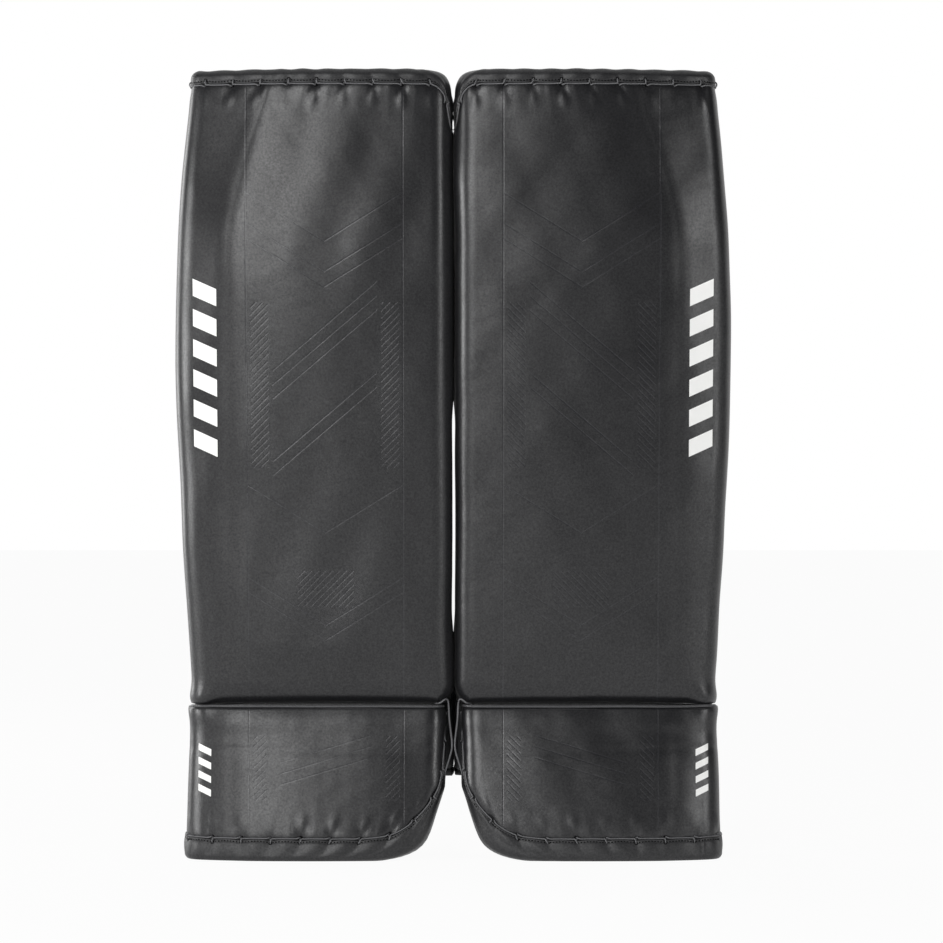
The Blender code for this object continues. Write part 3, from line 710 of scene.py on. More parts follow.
@dataclass
class PadForm:
    """The outline and depth of a pad, the same as its solids have.

    Attributes:
        height: Floor to the top edge.
        width: Width at the widest level.
        gap: Inner edge of a pad to the middle of the pair.
        hinge: Height of the boot break.
        top_seam: Height of the laced seam under the top edge.
        toe_seam: Height of the laced seam above the toe edge.
    """

    height: float
    width: float
    gap: float
    hinge: float
    top_seam: float
    toe_seam: float
    widest: float = 0.500
    top_taper: float = 0.019
    break_taper: float = 0.0155
    boot_width: float = 0.264
    toe_flare: float = 0.005
    toe_front: float = -0.0440
    boot_lean: float = math.radians(6.0)
    shin_lean: float = math.radians(7.0)
    bend: float = 0.640
    bend_ease: float = 0.060
    depth: float = 0.058
    crown: float = 0.005
    crown_reach: float = 0.060
    bevel_inset: float = 0.0555
    bevel_slant: float = 0.034
    bevel_start: float = 0.600
    bevel_rise: float = 0.131
    facet_drop: float = 0.019
    corner_stretch: float = 1.35
    end_round: float = 0.006
    top_corner: float = 0.016
    boot_inset: float = 0.0063
    toe_cut: float = 0.074
    toe_slant: float = 0.024
    toe_curl: float = 0.036
    toe_power: int = 10

    @classmethod
    def from_frame(cls) -> PadForm:
        """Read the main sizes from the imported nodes."""
        wrap_low, wrap_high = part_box("left_top_wrap")
        toe_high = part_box("left_toe_wrap")[1]
        cover_low, cover_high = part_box("left_face_cover")
        pipe_low, pipe_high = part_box("left_boot_piping")
        return cls(
            height=wrap_high.z,
            width=cover_high.x - cover_low.x,
            gap=cover_low.x,
            hinge=(pipe_low.z + pipe_high.z) / 2,
            top_seam=wrap_low.z,
            toe_seam=toe_high.z,
        )

    def face_line(self, z: float) -> float:
        """Return y of the face line at a height."""
        return float(self.front_line(np.array(z)))

    def front_line(self, z: Array) -> Array:
        """Return y of the face line at many heights, with the thigh's bend eased."""
        y = self.toe_front + np.minimum(z, self.hinge) * math.tan(self.boot_lean)
        over = np.clip(z - self.bend + self.bend_ease, 0, 2 * self.bend_ease)
        rise = np.minimum(z, self.bend + self.bend_ease)
        rise = rise - over ** 2 / (4 * self.bend_ease)
        return y - np.maximum(rise - self.hinge, 0.0) * math.tan(self.shin_lean)

    def outer(self, z: float, boot: bool) -> float:
        """Return u of the outer edge at a height of the boot or the upper part."""
        if boot:
            return self.boot_width + self.toe_flare * (1 - z / self.hinge)
        if z < self.widest:
            t = (self.widest - z) / (self.widest - self.hinge)
            return self.width - self.break_taper * t ** 1.4
        t = min((z - self.widest) / (self.height - self.widest), 1.0)
        return self.width - self.top_taper * t ** 1.9

    def inner(self, z: float, boot: bool) -> float:
        """Return u of the inner edge at a height of the boot or the upper part."""
        if boot:
            t = max(1 - z / self.toe_cut, 0.0)
            curl = self.toe_curl * t ** self.toe_power
            return self.boot_inset + self.toe_slant * t + curl
        tall = self.corner_stretch * self.top_corner
        rise = min(max(z - (self.height - tall), 0.0), tall) / tall
        return self.top_corner * (1 - math.sqrt(1 - rise ** 2))

    def bevel(self, z: float) -> float:
        """Return u of the line where the outer facet starts."""
        t = max(z - self.bevel_start, 0.0) / self.bevel_rise
        slant = self.bevel_slant * t * t / (1 + 0.25 * t * t)
        return self.width - self.bevel_inset - slant

    def end_inset(self, z: Array) -> Array:
        """Return how far the surface draws in at the rounded top and toe edges."""
        near = np.minimum(z, self.height - z)
        rise = np.clip(self.end_round - near, 0, self.end_round)
        return self.end_round - np.sqrt(self.end_round ** 2 - rise ** 2)


@dataclass
class Skin:
    """The outer surface of a padded part, as columns round it at every height.

    A place on it is a column number, which may lie between two columns, and a
    height. Columns run from the back inner corner round the front to the back.

    Attributes:
        form: Sizes of the pad.
        side: The pad's side.
        boot: True for the boot, False for the shin and thigh.
        relief: Soft relief at (column, u, depth, z), along the outward normal.
    """

    form: PadForm
    side: Side
    boot: bool
    relief: Callable[[Array, Array, Array, Array], Array]
    arcs: tuple[int, ...] = (4, 12, 12, 14, 4)
    edges: tuple[int, ...] = (10, 72, 16, 10, 14)
    step: float = 1.0 * MM

    def __post_init__(self) -> None:
        """Tabulate the sections at even steps of height."""
        self.low = 0.0 if self.boot else self.form.hinge
        self.high = self.form.hinge if self.boot else self.form.height
        count = int(math.ceil((self.high - self.low) / self.step)) + 1
        levels = [min(self.low + i * self.step, self.high) for i in range(count)]
        self.table = np.array([self.section(z) for z in levels])
        self.columns = sum(self.arcs) + sum(self.edges)
        self.face_start = self.arcs[0] + self.edges[0] + self.arcs[1]
        self.face_end = self.face_start + self.edges[1] + self.arcs[2] // 2
        self.facet_end = self.face_start + self.edges[1] + self.arcs[2] + self.edges[2]
        self.wall_start = self.facet_end + self.arcs[3]
        self.back_start = self.wall_start + self.edges[3]

    def section(self, z: float) -> Array:
        """Return the (u, y) loop at a height."""
        form = self.form
        inner, outer = form.inner(z, self.boot), form.outer(z, self.boot)
        bevel = form.bevel(z)
        drop = form.facet_drop * min((outer - bevel) / form.bevel_inset, 1.0)
        corners = [(inner, form.depth), (inner, 0.0), (bevel, 0.0), (outer, drop),
                   (outer, form.depth)]
        crisp = smooth((z - 0.45) / 0.2)
        radii = [3 * MM, 19 * MM, (150 - 70 * crisp) * MM, 26 * MM, 3 * MM]
        loop = rounded_loop(corners, radii, self.arcs, self.edges)
        t = np.clip((loop[:, 0] - inner) / (bevel - inner), 0, 1)
        facing = 1 - smooth(loop[:, 1] / (0.5 * form.depth))
        bulge = form.crown * min(abs(z - form.hinge) / form.crown_reach, 1.0)
        loop[:, 1] += form.face_line(z) - bulge * 4 * t * (1 - t) * facing
        return loop

    def plain(self, column: Array, z: Array) -> Array:
        """Return (u, y, z) of places before any relief."""
        n = self.columns
        c0 = np.floor(column).astype(int)
        fc = (column - c0)[..., None]
        row = np.clip((z - self.low) / self.step, 0, len(self.table) - 1.001)
        r0 = row.astype(int)
        fr = (row - r0)[..., None]
        t = self.table
        near = t[r0, c0 % n] * (1 - fc) + t[r0, (c0 + 1) % n] * fc
        far = t[r0 + 1, c0 % n] * (1 - fc) + t[r0 + 1, (c0 + 1) % n] * fc
        uy = near * (1 - fr) + far * fr
        across = t[r0, (c0 + 1) % n] - t[r0, c0 % n]
        flat = np.stack([across[..., 1], -across[..., 0]], -1)
        flat /= np.maximum(np.linalg.norm(flat, axis=-1, keepdims=True), 1e-9)
        uy = uy - flat * self.form.end_inset(z)[..., None]
        return np.concatenate([uy, np.asarray(z, float)[..., None]], -1)

    def normals(self, column: Array, z: Array) -> Array:
        """Return outward normals in (u, y, z) at places."""
        half = 0.5 * self.step
        above, below = np.minimum(z + half, self.high), np.maximum(z - half, self.low)
        across = self.plain(column + 0.5, z) - self.plain(column - 0.5, z)
        up = self.plain(column, above) - self.plain(column, below)
        normal = np.cross(across, up)
        return unit(normal)

    def at(self, column: Array | float, z: Array | float, lift: Array | float = 0.0,
           soft: bool = True) -> Array:
        """Return world places on the skin.

        Args:
            column: Column numbers.
            z: Heights.
            lift: Distance above the skin.
            soft: Whether the relief is added.

        Returns:
            Places, with a last axis of x, y, z.
        """
        column, z = np.broadcast_arrays(np.asarray(column, float), np.asarray(z, float))
        place = self.plain(column, z)
        height = np.array(np.broadcast_to(lift, z.shape), float)
        if soft:
            depth = place[..., 1] - self.form.front_line(z)
            height += self.relief(column, place[..., 0], depth, z)
        place = place + self.normals(column, z) * height[..., None]
        place[..., 0] = self.side.way * (self.form.gap + place[..., 0])
        return place

    def outward(self, column: Array | float, z: Array | float) -> Array:
        """Return world normals at places on the skin."""
        column, z = np.broadcast_arrays(np.asarray(column, float), np.asarray(z, float))
        normal = self.normals(column, z)
        normal[..., 0] *= self.side.way
        return normal


@dataclass
class LacedSeam:
    """A seam round the front where a casing and an edge binding are laced together.

    Attributes:
        skin: The surface that the seam runs over.
        knots: Columns, and the seam's height at each of them.
        way: 1 where the binding lies above the seam and -1 below it.
        pitch: Distance between two lace holes.
        pucker: Depth to which the lace pulls the surface in.
    """

    skin: Skin
    knots: list[tuple[float, float]]
    way: int
    pitch: float
    pucker: float = 2.7 * MM

    def __post_init__(self) -> None:
        """Measure the seam's length along its columns."""
        self.grid = np.arange(0.0, self.skin.columns + 0.1, 0.25)
        line = self.skin.at(self.grid, self.height(self.grid), soft=False)
        gaps = np.linalg.norm(np.diff(line, axis=0), axis=1)
        self.run = np.concatenate([[0.0], np.cumsum(gaps)])
        self.start = float(np.interp(self.skin.face_start, self.grid, self.run))

    def height(self, column: Array) -> Array:
        """Return the seam's height at columns."""
        columns, heights = zip(*self.knots)
        return np.interp(column, columns, heights)

    def phase(self, column: Array) -> Array:
        """Return how many lace pitches a column is from the face's inner edge."""
        return (np.interp(column, self.grid, self.run) - self.start) / self.pitch

    def column(self, phase: Array | float) -> Array:
        """Return the column at a number of pitches from the face's inner edge."""
        run = np.asarray(phase) * self.pitch + self.start
        return np.interp(run, self.run, self.grid)

    def edge(self, column: Array) -> Array:
        """Return the height of the binding's scalloped hem at columns."""
        wave = np.cos(2 * math.pi * self.phase(column))
        return self.height(column) + self.way * 0.5 * MM * wave

    def gather(self, column: Array, z: Array) -> Array:
        """Return the relief that the lace gives the casing beside the seam.

        Args:
            column: Columns of the skin.
            z: Heights there.

        Returns:
            Height of the relief: the pull at each hole, the fold and the ridge
            between holes, fine rays, and the valley along the whole seam.
        """
        off = -self.way * (z - self.height(column))
        beyond = np.maximum(off, 0.0)
        phase = self.phase(column)
        turn = 2 * math.pi * phase
        hole = np.round(phase)
        own = 0.75 + 0.35 * np.sin(2.3 * hole + self.skin.side.way)
        wide = 0.5 + 0.5 * np.cos(turn)
        spread = 1 + beyond / (9 * MM)
        near = np.exp(-((phase - hole) * self.pitch / (2.2 * MM * spread)) ** 2)
        pull = -self.pucker * own * near * np.exp(-beyond / (6.5 * MM))
        fold = 1.0 * MM * own * (0.5 - wide) * np.exp(-beyond / (13 * MM))
        ridge = 0.85 * MM * own * wide ** 4 * bell(beyond, 15, 9)
        rays = np.cos(4 * turn) * wide ** 2 * bell(beyond, 8, 6)
        valley = -1.2 * MM * np.exp(-beyond / (3.0 * MM))
        return pull + fold + ridge + 0.25 * MM * own * rays + valley


# ------------------------------------------------------- sweeps and stitching

def ribbon_profile(width: float, thickness: float, count: int = 12) -> Array:
    """Return a flat profile with rounded edges, as (across, up) points.

    Args:
        width: Full width.
        thickness: Full thickness.
        count: Points across each broad side.

    Returns:
        The closed profile, turning from the lower side to the upper one.
    """
    half, r = width / 2, thickness / 2
    flat = np.linspace(-(half - r), half - r, count)
    turn = np.linspace(-math.pi / 2, math.pi / 2, 6)[1:-1]
    right = [(half - r + r * math.cos(a), r * math.sin(a)) for a in turn]
    left = [(-x, -y) for x, y in right]
    lower, upper = [(x, -r) for x in flat], [(x, r) for x in flat[::-1]]
    return np.array(lower + right + upper + left)


def round_profile(radius: float, count: int = 10) -> Array:
    """Return a round profile of count points."""
    turn = np.linspace(0, 2 * math.pi, count, endpoint=False)
    return np.stack([radius * np.cos(turn), radius * np.sin(turn)], -1)


def swept(path: Array, up: Array, profile: Array, closed: bool = False) -> Array:
    """Carry a profile along a path.

    Args:
        path: Places along the middle of the piece, as n by 3.
        up: The profile's up direction at each place.
        profile: Closed profile as (across, up), or one profile for each place.
        closed: Whether the path is a closed loop.

    Returns:
        A grid of rows by columns by 3.
    """
    if closed:
        along = np.roll(path, -1, 0) - np.roll(path, 1, 0)
    else:
        along = np.gradient(path, axis=0)
    across = unit(np.cross(along, up))
    up = unit(np.cross(across, along))
    shape = np.broadcast_to(profile, (len(path), *np.shape(profile)[-2:]))
    place = path[:, None] + across[:, None] * shape[..., :1]
    return place + up[:, None] * shape[..., 1:]


def eased_path(points: Sequence[Sequence[float]], spacing: float, rounds: int = 2,
               closed: bool = False) -> Array:
    """Round a polyline's corners and space its points evenly.

    Args:
        points: Corners of the line.
        spacing: Distance between the returned points.
        rounds: Times each corner is cut.
        closed: Whether the line is a closed loop.

    Returns:
        The eased points.
    """
    line = np.array(points, float)
    for _ in range(rounds):
        nxt = np.roll(line, -1, 0) if closed else line[1:]
        here = line if closed else line[:-1]
        cut = np.stack([0.75 * here + 0.25 * nxt, 0.25 * here + 0.75 * nxt], 1)
        cut = cut.reshape(-1, line.shape[1])
        line = cut if closed else np.vstack([line[:1], cut, line[-1:]])
    loop = np.vstack([line, line[:1]]) if closed else line
    steps = np.linalg.norm(np.diff(loop, axis=0), axis=1)
    run = np.concatenate([[0], np.cumsum(steps)])
    count = max(int(round(run[-1] / spacing)), 3)
    marks = np.linspace(0, run[-1], count + 1)
    axes = [np.interp(marks, run, loop[:, i]) for i in range(line.shape[1])]
    out = np.stack(axes, -1)
    return out[:-1] if closed else out


def add_ring(name: str, grid: Array, finish: Finish) -> Piece:
    """Add a closed band through rows that join end to end.

    Args:
        name: Name of the piece.
        grid: Places as rows by columns by 3.
        finish: The finish of the piece.

    Returns:
        The new object.
    """
    rows, columns = grid.shape[:2]
    faces = ring_faces(rows, columns, rows)
    return add_piece(name, grid.reshape(-1, 3), faces, finish)


@dataclass
class Guide:
    """A line on a surface that stitches or eyelets follow.

    Attributes:
        points: Places along the line, as n by 3.
        up: Surface normals there.
        closed: Whether the line joins its own start.
    """

    points: Array
    up: Array
    closed: bool = False


class Repeat(Enum):
    """What repeats along a guide."""

    STITCH = "stitch"
    EYELET = "eyelet"


# Steps and radius of an eyelet's ring and of its wire, at unit size.
EYELET_RING, EYELET_WIRE = (14, 0.38), (6, 0.12)


@dataclass(frozen=True)
class RowOfParts:
    """Geometry Nodes that set small parts along guides, at even steps.

    Attributes:
        kind: The part that repeats.
        spacing: Distance from one part to the next.
        size: Length, width and height of a part.
        wander: Largest turn of a part off its line, in radians.
        seed: Seed of the wander.
    """

    kind: Repeat
    spacing: float
    size: tuple[float, float, float]
    wander: float = 0.06
    seed: int = 3

    def tree(self) -> Tree:
        """Return the node tree, made once for each kind of part."""
        name = f"row_of_{self.kind.value}s"
        found = bpy.data.node_groups.get(name)
        if found:
            return found
        made = bpy.data.node_groups.new(name, "GeometryNodeTree")
        sockets = {
            "Geometry": "NodeSocketGeometry", "Spacing": "NodeSocketFloat",
            "Size": "NodeSocketVector", "Wander": "NodeSocketFloat",
            "Seed": "NodeSocketInt", "Material": "NodeSocketMaterial",
        }
        for label, kind in sockets.items():
            made.interface.new_socket(label, in_out="INPUT", socket_type=kind)
        made.interface.new_socket("Geometry", in_out="OUTPUT",
                                  socket_type="NodeSocketGeometry")
        given = add_node(made, "NodeGroupInput").outputs
        line = add_node(made, "GeometryNodeMeshToCurve", {"Mesh": given["Geometry"]})
        spots = add_node(made, "GeometryNodeResampleCurve",
                         {"Curve": line.outputs[0], "Length": given["Spacing"]},
                         mode="LENGTH")
        along = add_node(made, "GeometryNodeInputTangent")
        up = add_node(made, "GeometryNodeInputNamedAttribute", {"Name": "up"},
                      data_type="FLOAT_VECTOR")
        facing = add_node(made, "FunctionNodeAxesToRotation",
                          {"Primary Axis": up.outputs[0],
                           "Secondary Axis": along.outputs[0]},
                          primary_axis="Z", secondary_axis="X")
        off = add_node(made, "ShaderNodeMath", {0: given["Wander"], 1: -1.0},
                       operation="MULTIPLY")
        turn = add_node(made, "FunctionNodeRandomValue",
                        {2: off.outputs[0], 3: given["Wander"], "Seed": given["Seed"]},
                        data_type="FLOAT")
        twist = add_node(made, "ShaderNodeCombineXYZ", {"Z": turn.outputs[1]})
        twisted = add_node(made, "FunctionNodeRotateRotation",
                           {"Rotation": facing.outputs[0],
                            "Rotate By": twist.outputs[0]}, rotation_space="LOCAL")
        part = self._part(made)
        copies = add_node(made, "GeometryNodeInstanceOnPoints",
                          {"Points": spots.outputs[0], "Instance": part,
                           "Rotation": twisted.outputs[0], "Scale": given["Size"]})
        real = add_node(made, "GeometryNodeRealizeInstances", {0: copies.outputs[0]})
        soft = add_node(made, "GeometryNodeSetShadeSmooth", {0: real.outputs[0]})
        done = add_node(made, "GeometryNodeSetMaterial",
                        {"Geometry": soft.outputs[0], "Material": given["Material"]})
        add_node(made, "NodeGroupOutput", {0: done.outputs[0]})
        return made

    def _part(self, tree: Tree) -> Socket:
        """Return one part of unit size, lying along X with Z up."""
        if self.kind is Repeat.STITCH:
            thread = add_node(tree, "GeometryNodeMeshUVSphere",
                              {"Segments": 6, "Rings": 5, "Radius": 0.5})
            turned = add_node(tree, "GeometryNodeTransform",
                              {"Geometry": thread.outputs[0],
                               "Rotation": (0.0, math.pi / 2, 0.0)})
            return turned.outputs[0]
        path, wire = [
            add_node(tree, "GeometryNodeCurvePrimitiveCircle",
                     {"Resolution": steps, "Radius": radius})
            for steps, radius in (EYELET_RING, EYELET_WIRE)
        ]
        ring = add_node(tree, "GeometryNodeCurveToMesh",
                        {"Curve": path.outputs[0], "Profile Curve": wire.outputs[0]})
        return ring.outputs[0]

    def make(self, name: str, guides: Sequence[Guide], finish: Finish) -> Piece:
        """Set parts along guides and return them as one plain mesh.

        Args:
            name: Name of the piece.
            guides: Lines to follow.
            finish: Finish of the parts.

        Returns:
            The new object.
        """
        points, edges, ups = [], [], []
        for guide in guides:
            first, count = len(points), len(guide.points)
            points += [tuple(p) for p in guide.points]
            ups += [tuple(n) for n in guide.up]
            edges += [(first + i, first + i + 1) for i in range(count - 1)]
            if guide.closed:
                edges.append((first + count - 1, first))
        mesh = bpy.data.meshes.new(name)
        mesh.from_pydata(points, edges, [])
        held = mesh.attributes.new("up", "FLOAT_VECTOR", "POINT")
        held.data.foreach_set("vector", np.array(ups, np.float32).ravel())
        piece = stand_up(mesh)
        nodes = piece.modifiers.new("row", "NODES")
        nodes.node_group = self.tree()
        given = {
            "Spacing": self.spacing, "Size": self.size, "Wander": self.wander,
            "Seed": self.seed, "Material": finish.material(),
        }
        for item in nodes.node_group.interface.items_tree:
            if item.in_out == "INPUT" and item.name in given:
                nodes[item.identifier] = given[item.name]
        piece = made_plain(piece)
        piece.data.materials.clear()
        piece.data.materials.append(finish.material())
        numbers = np.zeros(len(piece.data.polygons), np.int32)
        piece.data.polygons.foreach_set("material_index", numbers)
        return piece


def made_plain(piece: Piece) -> Piece:
    """Turn a piece with modifiers into a plain mesh and return it."""
    graph = bpy.context.evaluated_depsgraph_get()
    graph.update()
    mesh = bpy.data.meshes.new_from_object(piece.evaluated_get(graph))
    old = piece.data
    piece.modifiers.clear()
    piece.data = mesh
    bpy.data.meshes.remove(old)
    if "up" in mesh.attributes:
        mesh.attributes.remove(mesh.attributes["up"])
    return piece


FINE_STITCH = RowOfParts(Repeat.STITCH, 2.9 * MM, (1.9 * MM, 0.85 * MM, 0.7 * MM))
HEM_STITCH = RowOfParts(Repeat.STITCH, 3.1 * MM, (2.1 * MM, 1.6 * MM, 1.0 * MM))
LACE_HOLE = RowOfParts(Repeat.EYELET, 1.0, (3.0 * MM, 3.0 * MM, 1.6 * MM), wander=0.0)


# ------------------------------------------------------------- padded parts

# The binding's rolled hem in millimetres: distance from its edge, and lift.
HEM_LIP = ((-0.8, -2.6), (0.0, -0.5), (0.35, 0.7), (0.9, 1.15), (1.7, 1.1),
           (2.6, 0.5), (3.5, 1.0))
HEM_ROWS = (-0.8, -0.3, 0.0, 0.35, 0.9, 1.7, 2.6, 3.5)
# One turn of the lace at a hole in millimetres: along the seam, past the hem, lift.
WHIP_TOP, WHIP_FOOT = 3.8, -2.7
WHIP = ((-3.0, -0.9, 0.9), (-1.2, -1.2, 1.1), (-0.5, 0.6, 2.1), (-0.2, 2.6, 1.8),
        (0.0, WHIP_TOP, 0.2), (0.3, 2.8, -1.8), (0.6, -1.5, -2.4),
        (0.9, WHIP_FOOT, -0.9), (1.8, -1.9, 0.7), (4.5, -0.9, 0.7))


@dataclass
class PaddedPart:
    """A stuffed casing with an edge binding laced to it.

    Attributes:
        form: Sizes of the pad.
        side: The pad's side.
        seed: Number that picks this pad's own unevenness.
    """

    form: PadForm
    side: Side
    seed: int

    body = ""
    boot = False
    way = 1
    cord = 0.75 * MM        # radius of the lace
    back_room = 2.2 * MM    # room to flex, at the back of the break
    column_pitch = 2.5 * MM     # usual distance between two columns

    def __post_init__(self) -> None:
        """Make the surface and its laced seam."""
        self.skin = Skin(self.form, self.side, self.boot, self.relief)
        self.seam = LacedSeam(self.skin, self.knots(), self.way, self.pitch())
        self.guides: list[Guide] = []

    def knots(self) -> list[tuple[float, float]]:
        """Return columns and the seam's height at each."""
        raise NotImplementedError

    def pitch(self) -> float:
        """Return the distance between lace holes."""
        raise NotImplementedError

    def relief(self, column: Array, u: Array, depth: Array, z: Array) -> Array:
        """Return the casing's soft relief: swells, gathers and the rolled break.

        Args:
            column: Columns of the skin.
            u: Distances outwards from the pad's inner edge.
            depth: Distances behind the face line.
            z: Heights.

        Returns:
            Heights of the relief above the plain skin.
        """
        front = 1 - ramp(depth, 12, 30)
        walls = smooth((self.skin.back_start - column) / 3) * smooth((column - 4) / 3)
        soft = 1.0 * MM * swell(u, z, 170 * MM, self.seed) * front
        soft += 0.5 * MM * swell(u, 0.6 * z, 60 * MM, self.seed + 1)
        soft += 0.08 * MM * swell(u, z, 22 * MM, self.seed + 2) * front
        soft *= ramp(z - self.form.toe_seam, 0, 20)
        soft *= ramp(self.form.top_seam - z, 0, 20)
        laced = self.seam.gather(column, z) * (0.35 + 0.65 * front)
        pressed = self.own_wall(u, depth, z)
        return (soft + laced + self.own_relief(u, front, z) + pressed) * walls

    def own_wall(self, u: Array, depth: Array, z: Array) -> Array:
        """Return how far the inner wall bulges towards the other pad."""
        return np.zeros(np.shape(z))

    def end_wall(self, u: Array, depth: Array, z: Array) -> Array:
        """Return how far the binding's inner wall bulges towards the other pad."""
        return np.zeros(np.shape(z))

    def own_relief(self, u: Array, front: Array, z: Array) -> Array:
        """Return the relief that only this part has."""
        raise NotImplementedError

    def levels(self) -> Array:
        """Return the heights of the casing's rows."""
        raise NotImplementedError

    def wedge(self, z: Array) -> Array:
        """Return how far rows move from the break at the pad's back."""
        raise NotImplementedError

    def casing(self, name: str) -> Piece:
        """Build the stuffed casing as one closed body."""
        columns = np.arange(self.skin.columns, dtype=float)
        hinge = np.full(len(columns), self.form.hinge)
        back = self.skin.plain(columns, hinge)[:, 1]
        depth = back - self.form.face_line(self.form.hinge)
        share = np.clip(depth / self.form.depth, 0, 1)[None, :]
        z = self.levels()[:, None]
        grid = self.skin.at(columns[None, :], z + self.wedge(z) * share)
        return add_tube(self.side.node(name), grid, FACE_LEATHER)

    def build_laced(self, casing_name: str, nodes: Sequence[str], seam: str,
                    end: float) -> None:
        """Build and dress the casing, its edge binding and the lace.

        Args:
            casing_name: Name of the casing, without the side.
            nodes: Nodes that the casing stands for, without the side.
            seam: Word that starts the binding's and the lace's names.
            end: Height where the binding closes over the pad's end.
        """
        side, body = self.side, self.side.node(self.body)
        casing = self.casing(casing_name)
        binding = self.binding(f"{seam}_binding", end)
        lacing = self.lacing(f"{seam}_lacing")
        dress(casing, body, [side.node(n) for n in nodes])
        dress(binding, body, [side.node(f"{seam}_wrap")])
        dress(lacing, body, [side.node(f"{seam}_lace")])
        self.guides += self.hem_guides()

    def rise(self, column: Array, far: Array) -> Array:
        """Return how far the edge binding stands above the plain surface.

        Args:
            column: Columns.
            far: Distances from the hem.

        Returns:
            The binding's lift, with its puffs and the dips at the lace.
        """
        turn = 2 * math.pi * self.seam.phase(column)
        along, heights = np.array(HEM_LIP).T * MM
        lips = np.interp(far, along, heights)
        pulled = (0.5 + 0.5 * np.cos(turn)) ** 6 * np.exp(-np.abs(far) / (5 * MM))
        band = np.sin(math.pi * np.clip(far / (18 * MM), 0, 1))
        puff = 1.1 * MM * band * (0.6 - 0.4 * np.cos(turn))
        along = column * self.column_pitch
        wave = 0.3 * MM * swell(along, far, 35 * MM, self.seed + 5)
        return lips + puff + wave * smooth(far / (3 * MM)) - 1.1 * MM * pulled

    def binding(self, name: str, end: float) -> Piece:
        """Build the edge binding from its rolled hem to the pad's end.

        Args:
            name: Name of the piece, without the side.
            end: Height where the binding closes over the pad's end.

        Returns:
            The new object.
        """
        columns = np.arange(0, self.skin.columns, 0.5)
        edge = self.seam.edge(columns)
        hem = np.array(HEM_ROWS) * MM
        turns = np.linspace(0, math.pi / 2, 20)[1:]
        share = np.sin(turns) ** 0.9
        first = edge + self.way * hem[-1]
        rows = [edge + self.way * d for d in hem]
        rows += [first + (end - first) * s for s in share]
        z = np.clip(np.stack(rows), self.skin.low, self.skin.high)
        far = self.way * (z - edge[None, :])
        calm = smooth((len(rows) - 1 - np.arange(len(rows))) / 3)[:, None]
        column = np.broadcast_to(columns[None, :], z.shape)
        lift = self.rise(column, far)
        lift = np.where(far > 3.6 * MM, lift * calm + 0.9 * MM * (1 - calm), lift)
        place = self.skin.plain(column, z)
        depth = place[..., 1] - self.form.front_line(z)
        lift = lift + self.end_wall(place[..., 0], depth, z)
        grid = self.skin.at(column, z, lift, soft=False)
        return add_tube(self.side.node(name), grid, WRAP_LEATHER)

    def hole_phases(self) -> Array:
        """Return the phases of the lace holes along the seam."""
        first = self.seam.phase(np.array(4.0))
        last = self.seam.phase(np.array(float(self.skin.back_start - 2)))
        return np.arange(math.ceil(first), math.floor(last) + 1)

    def off_seam(self, phase: Array, off: Array, lift: Array | float) -> Array:
        """Return places beside the seam.

        Args:
            phase: Number of pitches along the seam.
            off: Distance up the pad from the hem.
            lift: Distance above the plain skin.

        Returns:
            World places.
        """
        column = self.seam.column(phase)
        slope = (self.seam.height(column + 0.5) - self.seam.height(column - 0.5))
        ahead = self.skin.at(column + 0.5, self.seam.height(column), soft=False)
        behind = self.skin.at(column - 0.5, self.seam.height(column), soft=False)
        width = np.linalg.norm(ahead - behind, axis=-1)
        lean = np.arctan2(slope, np.maximum(width, 1e-6))
        z = self.seam.edge(column) + off * np.cos(lean)
        shift = -off * np.sin(lean) / np.maximum(width, 1e-6)
        shift = np.clip(shift, -3.0, 3.0)
        z = np.clip(z, self.skin.low, self.skin.high)
        return self.skin.at(column + shift, z, lift, soft=False)

    def lacing(self, name: str) -> Piece:
        """Build the cord that whips the binding to the casing."""
        marks = []
        way, reach = self.way, self.seam.pitch / MM
        for hole in self.hole_phases():
            marks += [(hole + along / reach, off * way, lift)
                      for along, off, lift in WHIP]
            marks += [(hole + share, -0.5 * way, 0.4) for share in (0.35, 0.65)]
        phase, off, lift = np.array(marks).T
        spots = self.off_seam(phase, off * MM, lift * MM)
        path = eased_path(spots, 0.8 * MM, rounds=2)
        up = np.tile((0.31, -0.2, 1.0), (len(path), 1))
        grid = swept(path, up, round_profile(self.cord, 8))
        return add_tube(self.side.node(name), grid, LACE)

    def hem_guides(self) -> list[Guide]:
        """Return the line of the binding's hem stitches."""
        ends = self.hole_phases()
        phase = np.linspace(ends[0], ends[-1], 40 * len(ends))
        column = self.seam.column(phase)
        far = np.full(len(phase), 2.6 * MM)
        lift = self.rise(column, far) + 0.1 * MM
        points = self.off_seam(phase, self.way * far, lift)
        return [Guide(points, self.skin.outward(column, self.seam.height(column)))]

    def holes(self) -> list[Guide]:
        """Return one short guide at each end of a lace's whip."""
        guides = []
        for off, lift in ((WHIP_TOP * self.way, 0.6), (WHIP_FOOT * self.way, -1.9)):
            for hole in self.hole_phases():
                phase = hole + np.array([-0.4, 0.4]) * MM / self.seam.pitch
                spots = self.off_seam(phase, np.full(2, off * MM), lift * MM)
                column = self.seam.column(phase)
                up = self.skin.outward(column, self.seam.height(column))
                guides.append(Guide(spots, up))
        return guides


